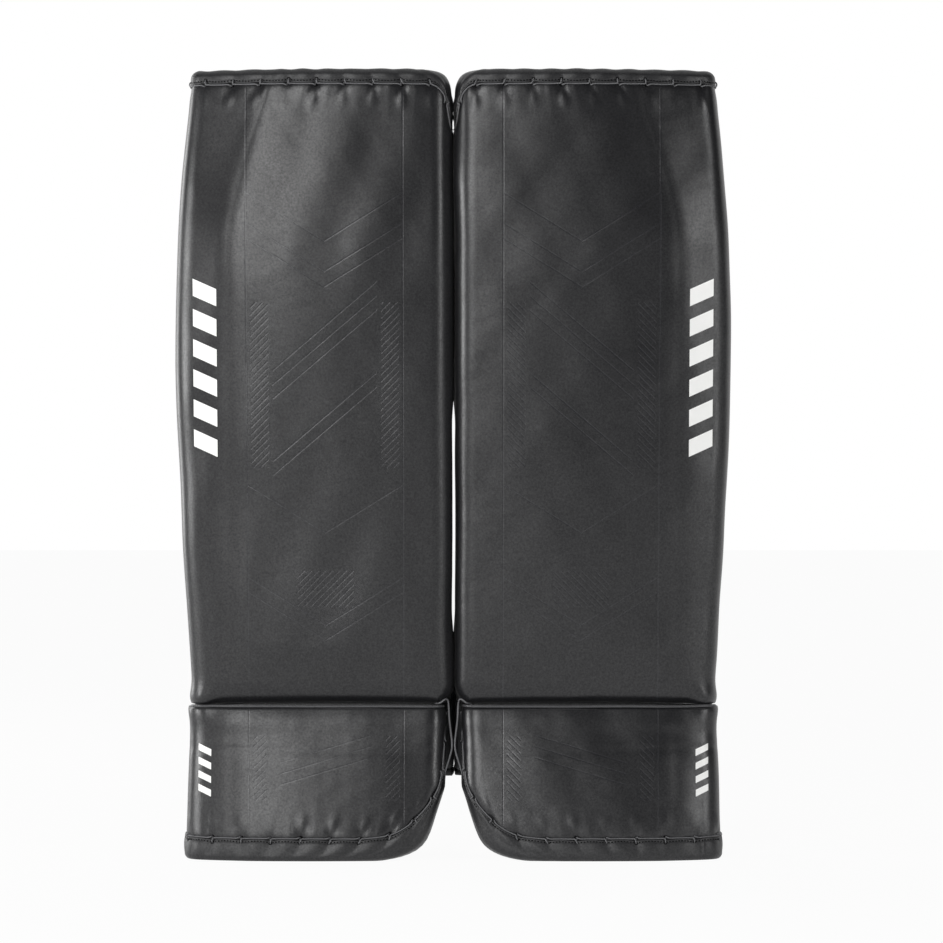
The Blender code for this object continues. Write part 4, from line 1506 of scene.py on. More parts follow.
@dataclass
class UpperPad(PaddedPart):
    """The shin and thigh rise: casing, top binding and lace."""

    body = "pad"
    gap_front = 0.9 * MM                    # rolled edge to the break, in front
    edge_reach, end_reach = 5 * MM, 9 * MM  # how far a wall's bulge reaches outwards
    # How far the inner walls bulge, in millimetres: all over, and on top of that
    # where a wall passes the other pad's.
    shin_press, shin_nose, hem_nose = 1.15, 2.25, 0.8
    end_press, end_nose = 0.4, 1.5

    def knots(self) -> list[tuple[float, float]]:
        """Run round under the top edge, then down the inner edge."""
        skin, seam = self.skin, self.form.top_seam + 1.5 * MM
        start = skin.face_start
        return [
            (0, seam), (4, seam - 47 * MM), (start - 11, seam - 47 * MM),
            (start - 8, seam - 30 * MM), (start - 5, seam - 9 * MM),
            (start - 2, seam - 1.5 * MM), (start + 2, seam),
            (skin.facet_end, seam + 0.5 * MM), (skin.wall_start, seam + 1 * MM),
            (skin.columns, seam),
        ]

    def pitch(self) -> float:
        """Space the holes of the top lace."""
        return 28.3 * MM

    def levels(self) -> Array:
        """Crowd the rows at the rolled break and under the laced seam."""
        low, top = self.form.hinge + self.gap_front, self.form.top_seam + 5 * MM
        roll = low + 26 * MM * np.linspace(0, 1, 22) ** 1.6
        middle = np.linspace(roll[-1], top - 42 * MM, 145)[1:]
        return np.concatenate([roll, middle, np.linspace(top - 42 * MM, top, 34)[1:]])

    def wedge(self, z: Array) -> Array:
        """Lift the lowest rows at the back, which leaves the boot room to flex."""
        return self.back_room * (1 - ramp(z - self.form.hinge, 0, 30))

    def own_relief(self, u: Array, front: Array, z: Array) -> Array:
        """Roll the face in at the break and push the outer corner out there."""
        rise = z - self.form.hinge
        t = np.clip((rise - self.gap_front) / (25 * MM), 0, 1)
        corner = ramp(u, 232, 22)
        roll = -13 * MM * (1 - np.sqrt(1 - (1 - t) ** 2)) * front * (1 - 0.75 * corner)
        fold = 0.6 * MM * swell(u, 0 * u, 90 * MM, self.seed + 3) * front
        fold = fold * bell(rise, 16, 9)
        bump = 3.4 * MM * corner * bell(rise, 7, 12)
        inner = 1.5 * MM * (1 - ramp(u, 0, 12))
        bump -= inner * bell(rise, 0, 14)
        return roll + fold + bump

    def nose(self, depth: Array) -> Array:
        """Return 1 at the depth where this pad's wall passes the other's."""
        return bell(depth, 20 if self.side is Side.RIGHT else 40, 8)

    def own_wall(self, u: Array, depth: Array, z: Array) -> Array:
        """Press the inner walls of the two pads together above and below mid-shin."""
        side = np.exp(-(np.maximum(u, 0) / self.edge_reach) ** 4)
        apart = ramp(z, 215, 40) * fall(z, 475, 40)
        ends = ramp(z - self.form.hinge, 2, 14) * fall(z, 739, 6)
        across = ramp(depth, 4, 8) * fall(depth, 55, 8)
        hem = self.hem_nose * bell(z, 726, 9)
        nose = self.nose(depth) * ((1 - apart) * self.shin_nose + hem)
        return (self.shin_press + nose) * MM * side * ends * across

    def end_wall(self, u: Array, depth: Array, z: Array) -> Array:
        """Let the top's inner wall touch the other pad above the lace."""
        side = np.exp(-(np.maximum(u, 0) / self.end_reach) ** 4)
        band = ramp(z, 738, 6) * fall(z, 769, 10)
        across = ramp(depth, 8, 8) * fall(depth, 57, 8)
        nose = self.end_nose * self.nose(depth)
        return (self.end_press + nose) * MM * side * band * across

    def build(self) -> None:
        """Build and dress the upper part."""
        self.build_laced("shin_casing", ("face_cover", "foam_core"), "top",
                         self.form.height)


# Corners of the break lace in millimetres: outwards, behind the face line, and
# above the break.
BREAK_LACE_MARKS = (
    (16, 15.0, 2.2), (15, 11.0, 2.2), (13, 6.0, 2.6), (10, 1.6, 3.4), (6.0, 2.2, 7.0),
    (3.0, 5.0, 7.0), (2.0, 7.5, 1.0), (1.6, 8.0, -12.0), (0.2, 8.5, -24.0),
    (-1.4, 9.0, -36.0), (-1.2, 9.5, -44.0), (1.6, 10.0, -54.0), (5.6, 11.0, -66.0),
    (8.6, 12.0, -77.0), (12.5, 12.0, -88.0), (17.5, 10.0, -95.0),
)
# The toe seam round the inner corner: columns past the face's start, millimetres.
TOE_CORNER = ((-12, 150), (-9, 104), (-7, 84), (-5, 67), (-3, 54), (-1, 44.5),
              (1, 37.5), (3, 32.5), (6, 28.2), (9, 25.6), (13, 23.6), (18, 22.4))


@dataclass
class BootPad(PaddedPart):
    """The boot: casing, toe binding, lace and the break's piping."""

    body = "boot"
    boot = True
    way = -1

    def knots(self) -> list[tuple[float, float]]:
        """Run above the toe edge, then round the inner corner and up its edge."""
        skin, seam, top = self.skin, self.form.toe_seam, self.form.hinge - 7.5 * MM
        start = skin.face_start
        turned = [(start + c, min(z * MM, top)) for c, z in TOE_CORNER]
        return [(0, seam), (4, top), *turned, (start + 24, seam),
                (skin.facet_end, seam + 0.5 * MM), (skin.wall_start, seam + 2 * MM),
                (skin.columns, seam)]

    def pitch(self) -> float:
        """Space the holes of the toe lace."""
        return 30.0 * MM

    def levels(self) -> Array:
        """Crowd the rows above the laced seam and under the piping."""
        low, top = self.form.toe_seam - 4 * MM, self.form.hinge - 0.3 * MM
        foot = np.linspace(low, low + 48 * MM, 38)
        edge = top - 7 * MM * np.linspace(1, 0, 14) ** 1.5
        return np.concatenate([foot, np.linspace(foot[-1], edge[0], 28)[1:-1], edge])

    def wedge(self, z: Array) -> Array:
        """Lower the highest rows at the back, which leaves room to flex."""
        return -self.back_room * (1 - ramp(self.form.hinge - z, 0, 30))

    def own_relief(self, u: Array, front: Array, z: Array) -> Array:
        """Round the upper edge into the piping and press in one soft crease."""
        below = self.form.hinge - 0.3 * MM - z
        t = np.clip(below / (4 * MM), 0, 1)
        edge = -3.0 * MM * (1 - np.sqrt(1 - (1 - t) ** 2)) * front
        crease = -0.5 * MM * bell(z - 0.02 * u, 107, 3.5) * front
        crown = 1.6 * MM * bell(below, 14, 12) * front
        corner = ramp(u, 235, 20)
        bump = 2.6 * MM * corner * bell(below, 3, 10)
        return edge + crease + crown + bump

    def build(self) -> None:
        """Build and dress the boot."""
        self.build_laced("boot_casing", ("boot_cover", "boot_foam"), "toe", 0.9 * MM)
        self.piping()
        self.break_lace()

    def break_lace(self) -> Piece:
        """Build the loose lace that loops over the inner end of the break."""
        form, way = self.form, self.side.way
        path = []
        for u, deep, rise in BREAK_LACE_MARKS:
            z = form.hinge + rise * MM
            path.append((way * (form.gap + u * MM), form.face_line(z) + deep * MM, z))
        path = eased_path(path, 1.2 * MM, rounds=3)
        up = np.tile((1.0, 0.2, 0.1), (len(path), 1))
        grid = swept(path, up, round_profile(0.95 * MM, 8))
        piece = dress(add_tube(self.side.node("break_lace"), grid, LACE),
                      self.side.node("boot"))
        return piece

    def piping(self) -> Piece:
        """Build the piping along the break, curling in at its outer end."""
        form, skin = self.form, self.skin
        z = form.hinge - 0.2 * MM
        columns = np.linspace(skin.face_start - 9, skin.wall_start - 1, 150)
        level = np.full(len(columns), z)
        corner = ramp(skin.plain(columns, level)[:, 0], 235, 20)
        tuck = smooth((columns - skin.wall_start + 7) / 6)
        lift = (0.4 + 1.6 * corner - 3.4 * tuck) * MM
        path = skin.at(columns, level, lift, soft=False)
        along = columns * self.column_pitch
        wave = 0.5 * MM * swell(along, 0 * columns, 120 * MM, self.seed + 9)
        path[:, 2] += wave - 1.2 * MM * tuck
        up = skin.outward(columns, np.full(len(columns), z - 2 * MM))
        grid = swept(path, up, round_profile(1.35 * MM, 12))
        piece = add_tube(self.side.node("break_piping"), grid, PIPING_LEATHER)
        return dress(piece, self.side.node("boot"),
                     [self.side.node("boot_piping")])


def dress(piece: Piece, body: str, stands_for: Sequence[str] = ()) -> Piece:
    """Put a finished piece on its body and hide the nodes that it stands for.

    Args:
        piece: The finished piece.
        body: The body that it moves with.
        stands_for: Nodes that it replaces.

    Returns:
        The same piece.
    """
    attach(piece, body)
    if stands_for:
        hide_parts(*stands_for)
    LOG.info("%s rides on %s: %d faces", piece.name, body, len(piece.data.polygons))
    return piece


# ------------------------------------------------------- leg channel, at the back

@dataclass(frozen=True)
class Stand:
    """A leaning frame on the back of a pad.

    Places in it are u outwards, d behind the back panel and h along it from the
    boot break.

    Attributes:
        side: The pad's side.
        gap: Inner edge of the pad to the middle of the pair.
        depth: World y of the back panel at the boot break.
        hinge: Height of the boot break.
        lean: How far the frame's upright leans forward.
    """

    side: Side
    gap: float
    depth: float
    hinge: float
    lean: float

    def world(self, places: Array | Sequence) -> Array:
        """Turn (u, d, h) into world places."""
        p = np.asarray(places, float)
        c, s = math.cos(self.lean), math.sin(self.lean)
        x = self.side.way * (self.gap + p[..., 0])
        y = self.depth + p[..., 1] * c - p[..., 2] * s
        z = self.hinge + p[..., 1] * s + p[..., 2] * c
        return np.stack([x, y, z], -1)

    def turn(self, ways: Array | Sequence) -> Array:
        """Turn (u, d, h) directions into world directions."""
        return self.world(ways) - self.world((0.0, 0.0, 0.0))

    def local(self, points: Array) -> Array:
        """Turn world places into (u, d, h)."""
        c, s = math.cos(self.lean), math.sin(self.lean)
        y, z = points[..., 1] - self.depth, points[..., 2] - self.hinge
        u = self.side.way * points[..., 0] - self.gap
        return np.stack([u, y * c + z * s, -y * s + z * c], -1)

    def box(self, name: str) -> tuple[Array, Array]:
        """Return the lowest and highest (u, d, h) of one of the pad's nodes."""
        places = self.local(node_points(self.side.node(name)))
        return places.min(0), places.max(0)


def node_points(name: str) -> Array:
    """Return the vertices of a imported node."""
    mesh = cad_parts[name].data
    flat = np.empty(3 * len(mesh.vertices), np.float32)
    mesh.vertices.foreach_get("co", flat)
    return flat.reshape(-1, 3).astype(float)


MERGE_GAP = 0.01 * MM                # corners closer than this are one
FLAT_ANGLE = math.radians(1.0)       # faces closer than this to flat are merged
CREASE_ANGLE = math.radians(50.0)    # edges sharper than this are shaded sharp


def node_copy(node: str, name: str, finish: Finish, bevel: float, segments: int = 3,
              angle: float = 30.0) -> Piece:
    """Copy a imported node, merge its loose triangles and round its edges.

    Args:
        node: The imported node.
        name: Name of the new piece.
        finish: Finish of the new piece.
        bevel: Radius of the rounding.
        segments: Steps of the rounding.
        angle: Edges sharper than this are rounded, in degrees.

    Returns:
        The new object, a plain mesh.
    """
    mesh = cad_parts[node].data.copy()
    mesh.name = name
    mesh.materials.clear()
    bm = bmesh.new()
    bm.from_mesh(mesh)
    bmesh.ops.remove_doubles(bm, verts=bm.verts, dist=MERGE_GAP)
    bmesh.ops.dissolve_limit(bm, angle_limit=FLAT_ANGLE, verts=bm.verts, edges=bm.edges)
    bmesh.ops.recalc_face_normals(bm, faces=bm.faces)
    sharp = [e for e in bm.edges if e.is_manifold
             and e.calc_face_angle(0.0) > math.radians(angle)]
    bmesh.ops.bevel(bm, geom=sharp, offset=bevel, offset_type="OFFSET",
                    segments=segments, profile=0.5, affect="EDGES", clamp_overlap=True)
    bmesh.ops.triangulate(bm, faces=[f for f in bm.faces if len(f.verts) > 4])
    bm.to_mesh(mesh)
    bm.free()
    mesh.shade_smooth()
    mesh.set_sharp_from_angle(angle=CREASE_ANGLE)
    return stand_up(mesh, finish.material())


def slab_grid(outline: Array, thickness: float, edge: float) -> Array:
    """Return rows of a rounded slab over an outline, from one face to the other.

    Args:
        outline: Closed outline in the slab's plane, as n by 2.
        thickness: Full thickness.
        edge: Radius of the rounded rim.

    Returns:
        Rows by points by (plane, plane, thickness).
    """
    ahead = unit(np.roll(outline, -1, 0) - np.roll(outline, 1, 0))
    inward = np.stack([-ahead[:, 1], ahead[:, 0]], -1)
    area = np.sum(outline[:, 0] * np.roll(outline[:, 1], -1)
                  - outline[:, 1] * np.roll(outline[:, 0], -1))
    inward *= 1.0 if area > 0 else -1.0
    turn = np.linspace(-math.pi / 2, math.pi / 2, 9)
    steps = [(edge * 3.0, -thickness / 2), (edge * 1.6, -thickness / 2)]
    steps += [(edge * (1 - math.cos(a)), thickness / 2 * math.sin(a)) for a in turn]
    steps += [(edge * 1.6, thickness / 2), (edge * 3.0, thickness / 2)]
    rows = []
    for inset, height in steps:
        flat = outline + inward * inset
        rows.append(np.column_stack([flat, np.full(len(outline), height)]))
    return np.array(rows)


def add_slab(name: str, stand: Stand, outline: Array, middle: float, thickness: float,
             axis: int, finish: Finish, edge: float, puff: float = 0.0,
             cell: float = 5 * MM) -> Piece:
    """Add a slab with a rounded rim and softly puffed faces.

    Args:
        name: Name of the piece.
        stand: Frame that it lies in.
        outline: Outline in the two axes other than axis.
        middle: Place of its middle along axis.
        thickness: Full thickness at the rim.
        axis: 0 for a slab across u, 1 for one across d.
        finish: Finish of the piece.
        edge: Radius of the rim.
        puff: How much each face bulges out between its edges.
        cell: Size of the faces inside the outline.

    Returns:
        The new object.
    """
    rows = slab_grid(outline, thickness, edge)
    count = len(outline)
    bm = bmesh.new()
    verts = [[bm.verts.new(p) for p in row] for row in rows]
    for a, b in zip(verts, verts[1:]):
        for i in range(count):
            j = (i + 1) % count
            bm.faces.new((a[i], a[j], b[j], b[i]))
    for ring, level in ((verts[0], -thickness / 2), (verts[-1], thickness / 2)):
        fill_face(bm, ring, level, cell)
    bmesh.ops.recalc_face_normals(bm, faces=bm.faces)
    low, high = outline.min(0), outline.max(0)
    for vert in bm.verts:
        t = [(vert.co[i] - low[i]) / (high[i] - low[i]) for i in (0, 1)]
        dome = min(1.0, 6 * t[0] * (1 - t[0])) * min(1.0, 6 * t[1] * (1 - t[1]))
        if abs(vert.co.z) > 1e-6:
            vert.co.z += math.copysign(puff * dome, vert.co.z)
    for vert in bm.verts:
        local = [vert.co.x, vert.co.y]
        local.insert(axis, middle + vert.co.z)
        vert.co = Vector(stand.world(local))
    bmesh.ops.recalc_face_normals(bm, faces=bm.faces)
    mesh = bpy.data.meshes.new(name)
    bm.to_mesh(mesh)
    bm.free()
    mesh.shade_smooth()
    return stand_up(mesh, finish.material())


def fill_face(bm: bmesh.types.BMesh, ring: Sequence[bmesh.types.BMVert], level: float,
              cell: float) -> None:
    """Fill a ring with faces of about one cell each.

    Args:
        bm: The mesh.
        ring: Vertices of the ring.
        level: Height of the ring.
        cell: Wanted size of the faces.
    """
    face = bm.faces.new(ring)
    low = [min(v.co[i] for v in ring) for i in (0, 1)]
    high = [max(v.co[i] for v in ring) for i in (0, 1)]
    parts = [face]
    for i, way in ((0, Vector((1, 0, 0))), (1, Vector((0, 1, 0)))):
        count = max(int((high[i] - low[i]) / cell), 1)
        for step in range(1, count):
            place = Vector((0, 0, level))
            place[i] = low[i] + (high[i] - low[i]) * step / count
            edges = list({e for f in parts for e in f.edges})
            verts = list({v for f in parts for v in f.verts})
            cut = bmesh.ops.bisect_plane(bm, geom=parts + edges + verts, dist=1e-7,
                                         plane_co=place, plane_no=way)
            parts = [g for g in cut["geom"] if isinstance(g, bmesh.types.BMFace)]


def rear_corners(low: Array, high: Array, corner: float, inset: float,
                 count: int) -> list[tuple[float, float]]:
    """Return points on the rounds of a wing's two rear corners.

    Args:
        low: Lowest (d, h).
        high: Highest (d, h).
        corner: Radius of the corners.
        inset: Distance of the points inside the edge.
        count: Points on each round.

    Returns:
        The points as (d, h), from the lower corner to the upper one.
    """
    points, r = [], corner - inset
    for middle, start in ((low[1] + corner, -90), (high[1] - corner, 0)):
        for angle in np.radians(np.linspace(start, start + 90, count)):
            points.append((high[0] - corner + r * math.cos(angle),
                           middle + r * math.sin(angle)))
    return points


def wing_outline(low: Array, high: Array, corner: float) -> Array:
    """Return a wing's outline in (d, h), rounded at its two rear corners.

    Args:
        low: Lowest (d, h).
        high: Highest (d, h).
        corner: Radius of the rear corners.

    Returns:
        The closed outline.
    """
    points = [(low[0], low[1]), *rear_corners(low, high, corner, 0.0, 10),
              (low[0], high[1])]
    return eased_path(points, 3 * MM, rounds=0, closed=True)


@dataclass
class Inflation:
    """Cloth pressure that swells a cushion into its cover.

    Attributes:
        voxel: Size of the remeshed faces.
        pressure: Pressure inside the cover.
        frames: Steps of the simulation.
        cap: Furthest that any point may move.
    """

    voxel: float = 5 * MM
    pressure: float = 4.0
    frames: int = 20
    cap: float = 5 * MM

    def swell(self, piece: Piece) -> None:
        """Remesh a piece and let the pressure round it.

        Args:
            piece: The piece, a plain mesh at the origin.
        """
        remesh = piece.modifiers.new("remesh", "REMESH")
        remesh.mode = "VOXEL"
        remesh.voxel_size = self.voxel
        made_plain(piece)
        start = mesh_points(piece)
        cloth = piece.modifiers.new("cloth", "CLOTH")
        cloth.settings.use_pressure = True
        cloth.settings.uniform_pressure_force = self.pressure
        cloth.settings.quality = 5
        cloth.settings.effector_weights.gravity = 0.0
        cloth.point_cache.frame_start = 1
        cloth.point_cache.frame_end = self.frames
        for number in range(1, self.frames + 1):
            bpy.context.scene.frame_set(number)
        made_plain(piece)
        moved = mesh_points(piece) - start
        far = np.linalg.norm(moved, axis=1, keepdims=True)
        moved *= np.minimum(1.0, self.cap / np.maximum(far, 1e-9))
        set_points(piece, start + moved)
        bpy.context.scene.frame_set(1)
        soften(piece, 4)
        finer = piece.modifiers.new("finer", "SUBSURF")
        finer.levels = finer.render_levels = 1
        made_plain(piece)
        piece.data.shade_smooth()


def mesh_points(piece: Piece) -> Array:
    """Return the vertices of a piece."""
    flat = np.empty(3 * len(piece.data.vertices), np.float32)
    piece.data.vertices.foreach_get("co", flat)
    return flat.reshape(-1, 3).astype(float)


def set_points(piece: Piece, points: Array) -> None:
    """Move the vertices of a piece to points."""
    piece.data.vertices.foreach_set("co", points.astype(np.float32).ravel())
    piece.data.update()


def soften(piece: Piece, times: int) -> None:
    """Ease the corners of a mesh by averaging neighbours."""
    bm = bmesh.new()
    bm.from_mesh(piece.data)
    for _ in range(times):
        bmesh.ops.smooth_vert(bm, verts=bm.verts, factor=0.5, use_axis_x=True,
                              use_axis_y=True, use_axis_z=True)
    bm.to_mesh(piece.data)
    bm.free()


@dataclass(frozen=True)
class WingMake:
    """How a wing is made.

    Attributes:
        corner: Radius of its rear corners.
        seat: How much thinner the panel is than its solid.
        edge: Radius of its rim.
        puff: How far its faces bulge.
        fill: How full it is padded; not used.
    """

    corner: float
    seat: float
    edge: float
    puff: float
    fill: float


CUSHIONS = (("knee_block", BLOCK_LEATHER, 5), ("calf_block", BLOCK_LEATHER, 6),
            ("knee_cradle", LINER, 7), ("shin_cradle", LINER, 8))
FAR_BEHIND = 150 * MM    # further back than any cushion
LEG_WING = WingMake(20 * MM, 1.5 * MM, 3 * MM, 1.0 * MM, 0.5)
BOOT_WING = WingMake(12 * MM, 1.2 * MM, 2 * MM, 0.5 * MM, 0.4)
LANDINGS = {
    "knee_block": ("knee_strap",),
    "calf_block": ("calf_strap_upper", "calf_strap_lower"),
}


@dataclass
class LegChannel:
    """Everything behind the shin that holds the leg: cushions, wings and straps.

    Attributes:
        stand: The shin's frame.
        body: Body that the fixed pieces ride on.
        tape: Width of the binding tape.
        shrink: Cushions start smaller than their solids by this.
        foot_gap: Middle of the pair to a calf block's pressed foot.
        strap_thickness: Thickness of a strap with its lining.
        webbing_share: Share of it that the webbing takes.
        block_edge: u where a strap leaves the block it lands on.
        tip_reach: Length of a strap's rounded tip, as a share of its width.
        tip_narrowing: How far the tip narrows, from 0 to 1.
    """

    stand: Stand
    body: str
    tape: float = 11 * MM
    shrink: float = 2.6 * MM
    foot_gap: float = 0.8 * MM
    strap_thickness: float = 3.0 * MM
    webbing_share: float = 0.86
    block_edge: float = 60 * MM
    tip_reach: float = 0.30
    tip_narrowing: float = 0.72

    def build(self) -> None:
        """Build the cushions, the wings and the straps."""
        for name, finish, seed in CUSHIONS:
            self.cushion(name, finish, seed)
        for name in ("knee_wing", "calf_wing"):
            self.wing(name, self.stand.side.node(name), LEG_WING)
        for name in ("knee_strap", "calf_strap_upper", "calf_strap_lower"):
            self.strap(name)

    def cushion(self, name: str, finish: Finish, seed: int) -> None:
        """Build one swollen cushion from its solid.

        Args:
            name: The cushion's node, without the side.
            finish: Its finish.
            seed: Number that picks its dents.
        """
        side = self.stand.side
        piece = node_copy(side.node(name), side.node(name + "_cushion"), finish,
                          4 * MM, 2)
        points = mesh_points(piece)
        middle = points.mean(0)
        low, high = points.min(0), points.max(0)
        share = 1 - 2 * self.shrink / (high - low)
        set_points(piece, middle + (points - middle) * share)
        Inflation().swell(piece)
        places = self.stand.local(mesh_points(piece))
        dents = 0.8 * MM * swell(places[:, 0], places[:, 2], 55 * MM, seed)
        dents *= ramp(places[:, 1], 6, 10)
        places[:, 1] += dents
        if name == "calf_block":
            self.press_together(places)
            self.foot_band()
        set_points(piece, self.stand.world(places))
        dress(piece, self.body, [side.node(name)])
        self.cushion_seam(piece, name)
        for strap in LANDINGS.get(name, ()):
            self.loop_patch(piece, strap)

    def press_together(self, places: Array) -> None:
        """Flatten the calf block's foot against the other pad's, in place.

        Args:
            places: The cushion's (u, d, h), which are moved.
        """
        inner = 1 - ramp(places[:, 0], 0, 25)
        low = 1 - ramp(places[:, 2], 55, 35)
        nose = np.exp(-((places[:, 1] - self.crossing()) / (6 * MM)) ** 2)
        near = self.foot_gap - self.stand.gap
        reach = places[places[:, 2] < -20 * MM, 0].min()
        places[:, 0] -= (reach - near) * inner * low
        held = low * near + (1 - low) * places[:, 0]
        places[:, 0] = np.maximum(places[:, 0], held)
        past = np.maximum(places[:, 0] - near, 0)
        flat = past * 0.9 * (1 - ramp(past, 4, 9))
        nose = 1.35 * MM * nose * (1 - ramp(past, 0, 10))
        places[:, 0] -= (flat + nose) * low

    def laid(self, piece: Piece, places: Array, lift: float) -> tuple[Array, Array]:
        """Lay places on a cushion's rear face.

        Args:
            piece: The cushion.
            places: Rows of (u, d, h); d is replaced by the face's own.
            lift: Distance above the face.

        Returns:
            The (u, d, h) on the face, and the face's normals there.
        """
        mesh = piece.data
        tree = BVHTree.FromPolygons([v.co for v in mesh.vertices],
                                    [p.vertices for p in mesh.polygons])
        start = places.copy()
        start[:, 1] = FAR_BEHIND
        way = Vector(self.stand.turn((0.0, -1.0, 0.0)))
        spots, faces = [], []
        for origin in self.stand.world(start):
            place, normal, _, _ = tree.ray_cast(Vector(origin), way)
            if place is None:
                place, normal, _, _ = tree.find_nearest(Vector(origin))
            spots.append(place + normal * lift)
            faces.append(normal)
        return np.array(spots), np.array(faces)

    def cushion_seam(self, piece: Piece, name: str) -> None:
        """Sew a line of stitches round a cushion's rear face."""
        low, high = self.stand.box(name)
        a, b, turn = low + 8 * MM, high - 8 * MM, 9 * MM
        line = [(a[0] + turn, 0, a[2]), (b[0] - turn, 0, a[2]), (b[0], 0, a[2] + turn),
                (b[0], 0, b[2] - turn), (b[0] - turn, 0, b[2]), (a[0] + turn, 0, b[2]),
                (a[0], 0, b[2] - turn), (a[0], 0, a[2] + turn)]
        path = eased_path(line, 3 * MM, rounds=2, closed=True)
        spots, faces = self.laid(piece, path, 0.15 * MM)
        seam = FINE_STITCH.make(self.stand.side.node(name + "_stitches"),
                                [Guide(spots, faces, closed=True)], STITCH)
        dress(seam, self.body)

    def loop_patch(self, piece: Piece, strap: str) -> None:
        """Sew the loop patch that a strap's tip grips."""
        side = self.stand.side
        low, high = self.stand.box(strap)
        inner, outer, edge = low[0] - 1 * MM, 50 * MM, 4 * MM
        u = np.linspace(inner, outer, 18)
        h = np.linspace(low[2] - edge, high[2] + edge, 20)
        places = np.stack([np.tile(u, len(h)), np.zeros(len(u) * len(h)),
                           np.repeat(h, len(u))], -1)
        sheets = [self.laid(piece, places, lift)[0].reshape(len(h), len(u), 3)
                  for lift in (0.7 * MM, -0.5 * MM)]
        grid = np.concatenate([sheets[0], sheets[1][:, ::-1]], axis=1)
        patch = add_tube(side.node(strap + "_loop_patch"), grid, LOOP_PILE)
        dress(patch, self.body)

    def crossing(self) -> float:
        """Return the depth where this side's inner edge meets the other's."""
        return (14 if self.stand.side is Side.RIGHT else 28) * MM

    def foot_band(self) -> None:
        """Build the binding round the foot of the calf's landing block."""
        side = self.stand.side
        places = self.stand.local(node_points(side.node("calf_block")))
        low, high = places.min(0), places.max(0)
        back = places[places[:, 2] < low[2] + 12 * MM, 1].max() - 1 * MM
        inner, nose = 0.9 * MM - self.stand.gap, 1.6 * MM
        line = [(inner, low[1] + 4 * MM)]
        for step in (-6, -3, 0, 3, 6):
            out = nose * math.exp(-(step / 4) ** 2)
            line.append((inner - out, self.crossing() + step * MM))
        line += [(inner, back), (high[0] - 4 * MM, back),
                 (high[0] - 4 * MM, low[1] + 4 * MM)]
        outline = eased_path(line, 3 * MM, rounds=1, closed=True)
        band = add_slab(side.node("calf_foot_binding"), self.stand, outline,
                        low[2] + 4.2 * MM, 8.0 * MM, 2, WRAP_LEATHER, 1.6 * MM)
        dress(band, self.body)

    def wing(self, name: str, body: str, make: WingMake) -> None:
        """Build a padded wing with binding tape round its free edge.

        Args:
            name: The wing's node, without the side.
            body: Body that it rides on.
            make: How thick, round and full it is made.
        """
        side = self.stand.side
        low, high = self.stand.box(name)
        outline = wing_outline(low[1:], high[1:], make.corner)
        middle, thick = (low[0] + high[0]) / 2, high[0] - low[0]
        panel = add_slab(side.node(name + "_panel"), self.stand, outline, middle,
                         thick - make.seat, 0, PANEL_NYLON, make.edge,
                         puff=make.puff)
        dress(panel, body, [side.node(name)])
        self.edge_tape(name, body, make.corner)

    def edge_tape(self, name: str, body: str, corner: float) -> None:
        """Build the tape round a wing's free edge, and its stitches.

        Args:
            name: The wing's node, without the side.
            body: Body that they ride on.
            corner: Radius of the wing's rear corners.
        """
        side, stand, inset = self.stand.side, self.stand, 4.4 * MM
        low, high = stand.box(name)
        middle, thick = (low[0] + high[0]) / 2, high[0] - low[0]
        low, high = low[1:], high[1:]
        line = [(low[0] + 8 * MM, low[1] + inset),
                *rear_corners(low, high, corner, inset, 9),
                (low[0] + 8 * MM, high[1] - inset)]
        path = eased_path(line, 2.5 * MM, rounds=1)
        flat = np.column_stack([np.full(len(path), middle), path])
        up = np.tile(stand.turn((1.0, 0.0, 0.0)), (len(path), 1))
        profile = ribbon_profile(self.tape, thick + 0.6 * MM, 6)
        grid = swept(stand.world(flat), up, profile)
        tape = add_tube(side.node(name + "_binding"), grid, BINDING)
        guides = []
        ahead = unit(np.gradient(path, axis=0))
        inward = np.stack([-ahead[:, 1], ahead[:, 0]], -1)
        for way in (-1, 1):
            row = path + inward * 2.8 * MM
            level = middle + way * (thick / 2 + 0.3 * MM)
            flat = np.column_stack([np.full(len(row), level), row])
            face = np.tile(stand.turn((float(way), 0.0, 0.0)), (len(row), 1))
            guides.append(Guide(stand.world(flat), face))
        dress(tape, body)
        stitches = FINE_STITCH.make(side.node(name + "_stitches"), guides, STITCH)
        dress(stitches, body)

    def strap(self, name: str) -> None:
        """Build a hook-and-loop strap from its wing to its rounded tip, and sew it."""
        side, stand = self.stand.side, self.stand
        low, high = stand.box(name)
        places = stand.local(node_points(side.node(name)))
        width, level = high[2] - low[2], (high[2] + low[2]) / 2
        thick = self.strap_thickness
        root = places[places[:, 0] > high[0] - 1 * MM][:, 1]
        seat = (root.min() + root.max()) / 2
        wing_in, block = high[0] - 10 * MM, self.block_edge
        line = [(high[0], seat), (wing_in, seat)]
        span = wing_in - block
        bow = high[1] - seat - thick / 2
        for t in np.linspace(0, 1, 9)[1:-1]:
            line.append((wing_in - span * t, seat + bow * 4 * t * (1 - t)))
        line += [(block, seat), (low[0], seat + 0.6 * MM)]
        path = eased_path(line, 3 * MM, rounds=2)
        flat = np.column_stack([path, np.full(len(path), level)])
        tip = np.clip((path[:, 0] - low[0]) / (width * self.tip_reach), 0, 1)
        narrow = np.sqrt(1 - (1 - tip) ** 2 * self.tip_narrowing)
        profile = ribbon_profile(width, thick * self.webbing_share, 14)
        shapes = np.repeat(profile[None], len(path), 0)
        shapes[:, :, 0] *= narrow[:, None]
        ahead = np.gradient(path, axis=0)
        up = np.column_stack([ahead[:, 1], np.abs(ahead[:, 0]), np.zeros(len(path))])
        grid = swept(stand.world(flat), stand.turn(up), shapes)
        strap = add_tube(side.node(name + "_webbing"), grid, WEBBING)
        dress(strap, side.node(name), [side.node(name)])
        self.strap_trim(name, flat, narrow, up, width)

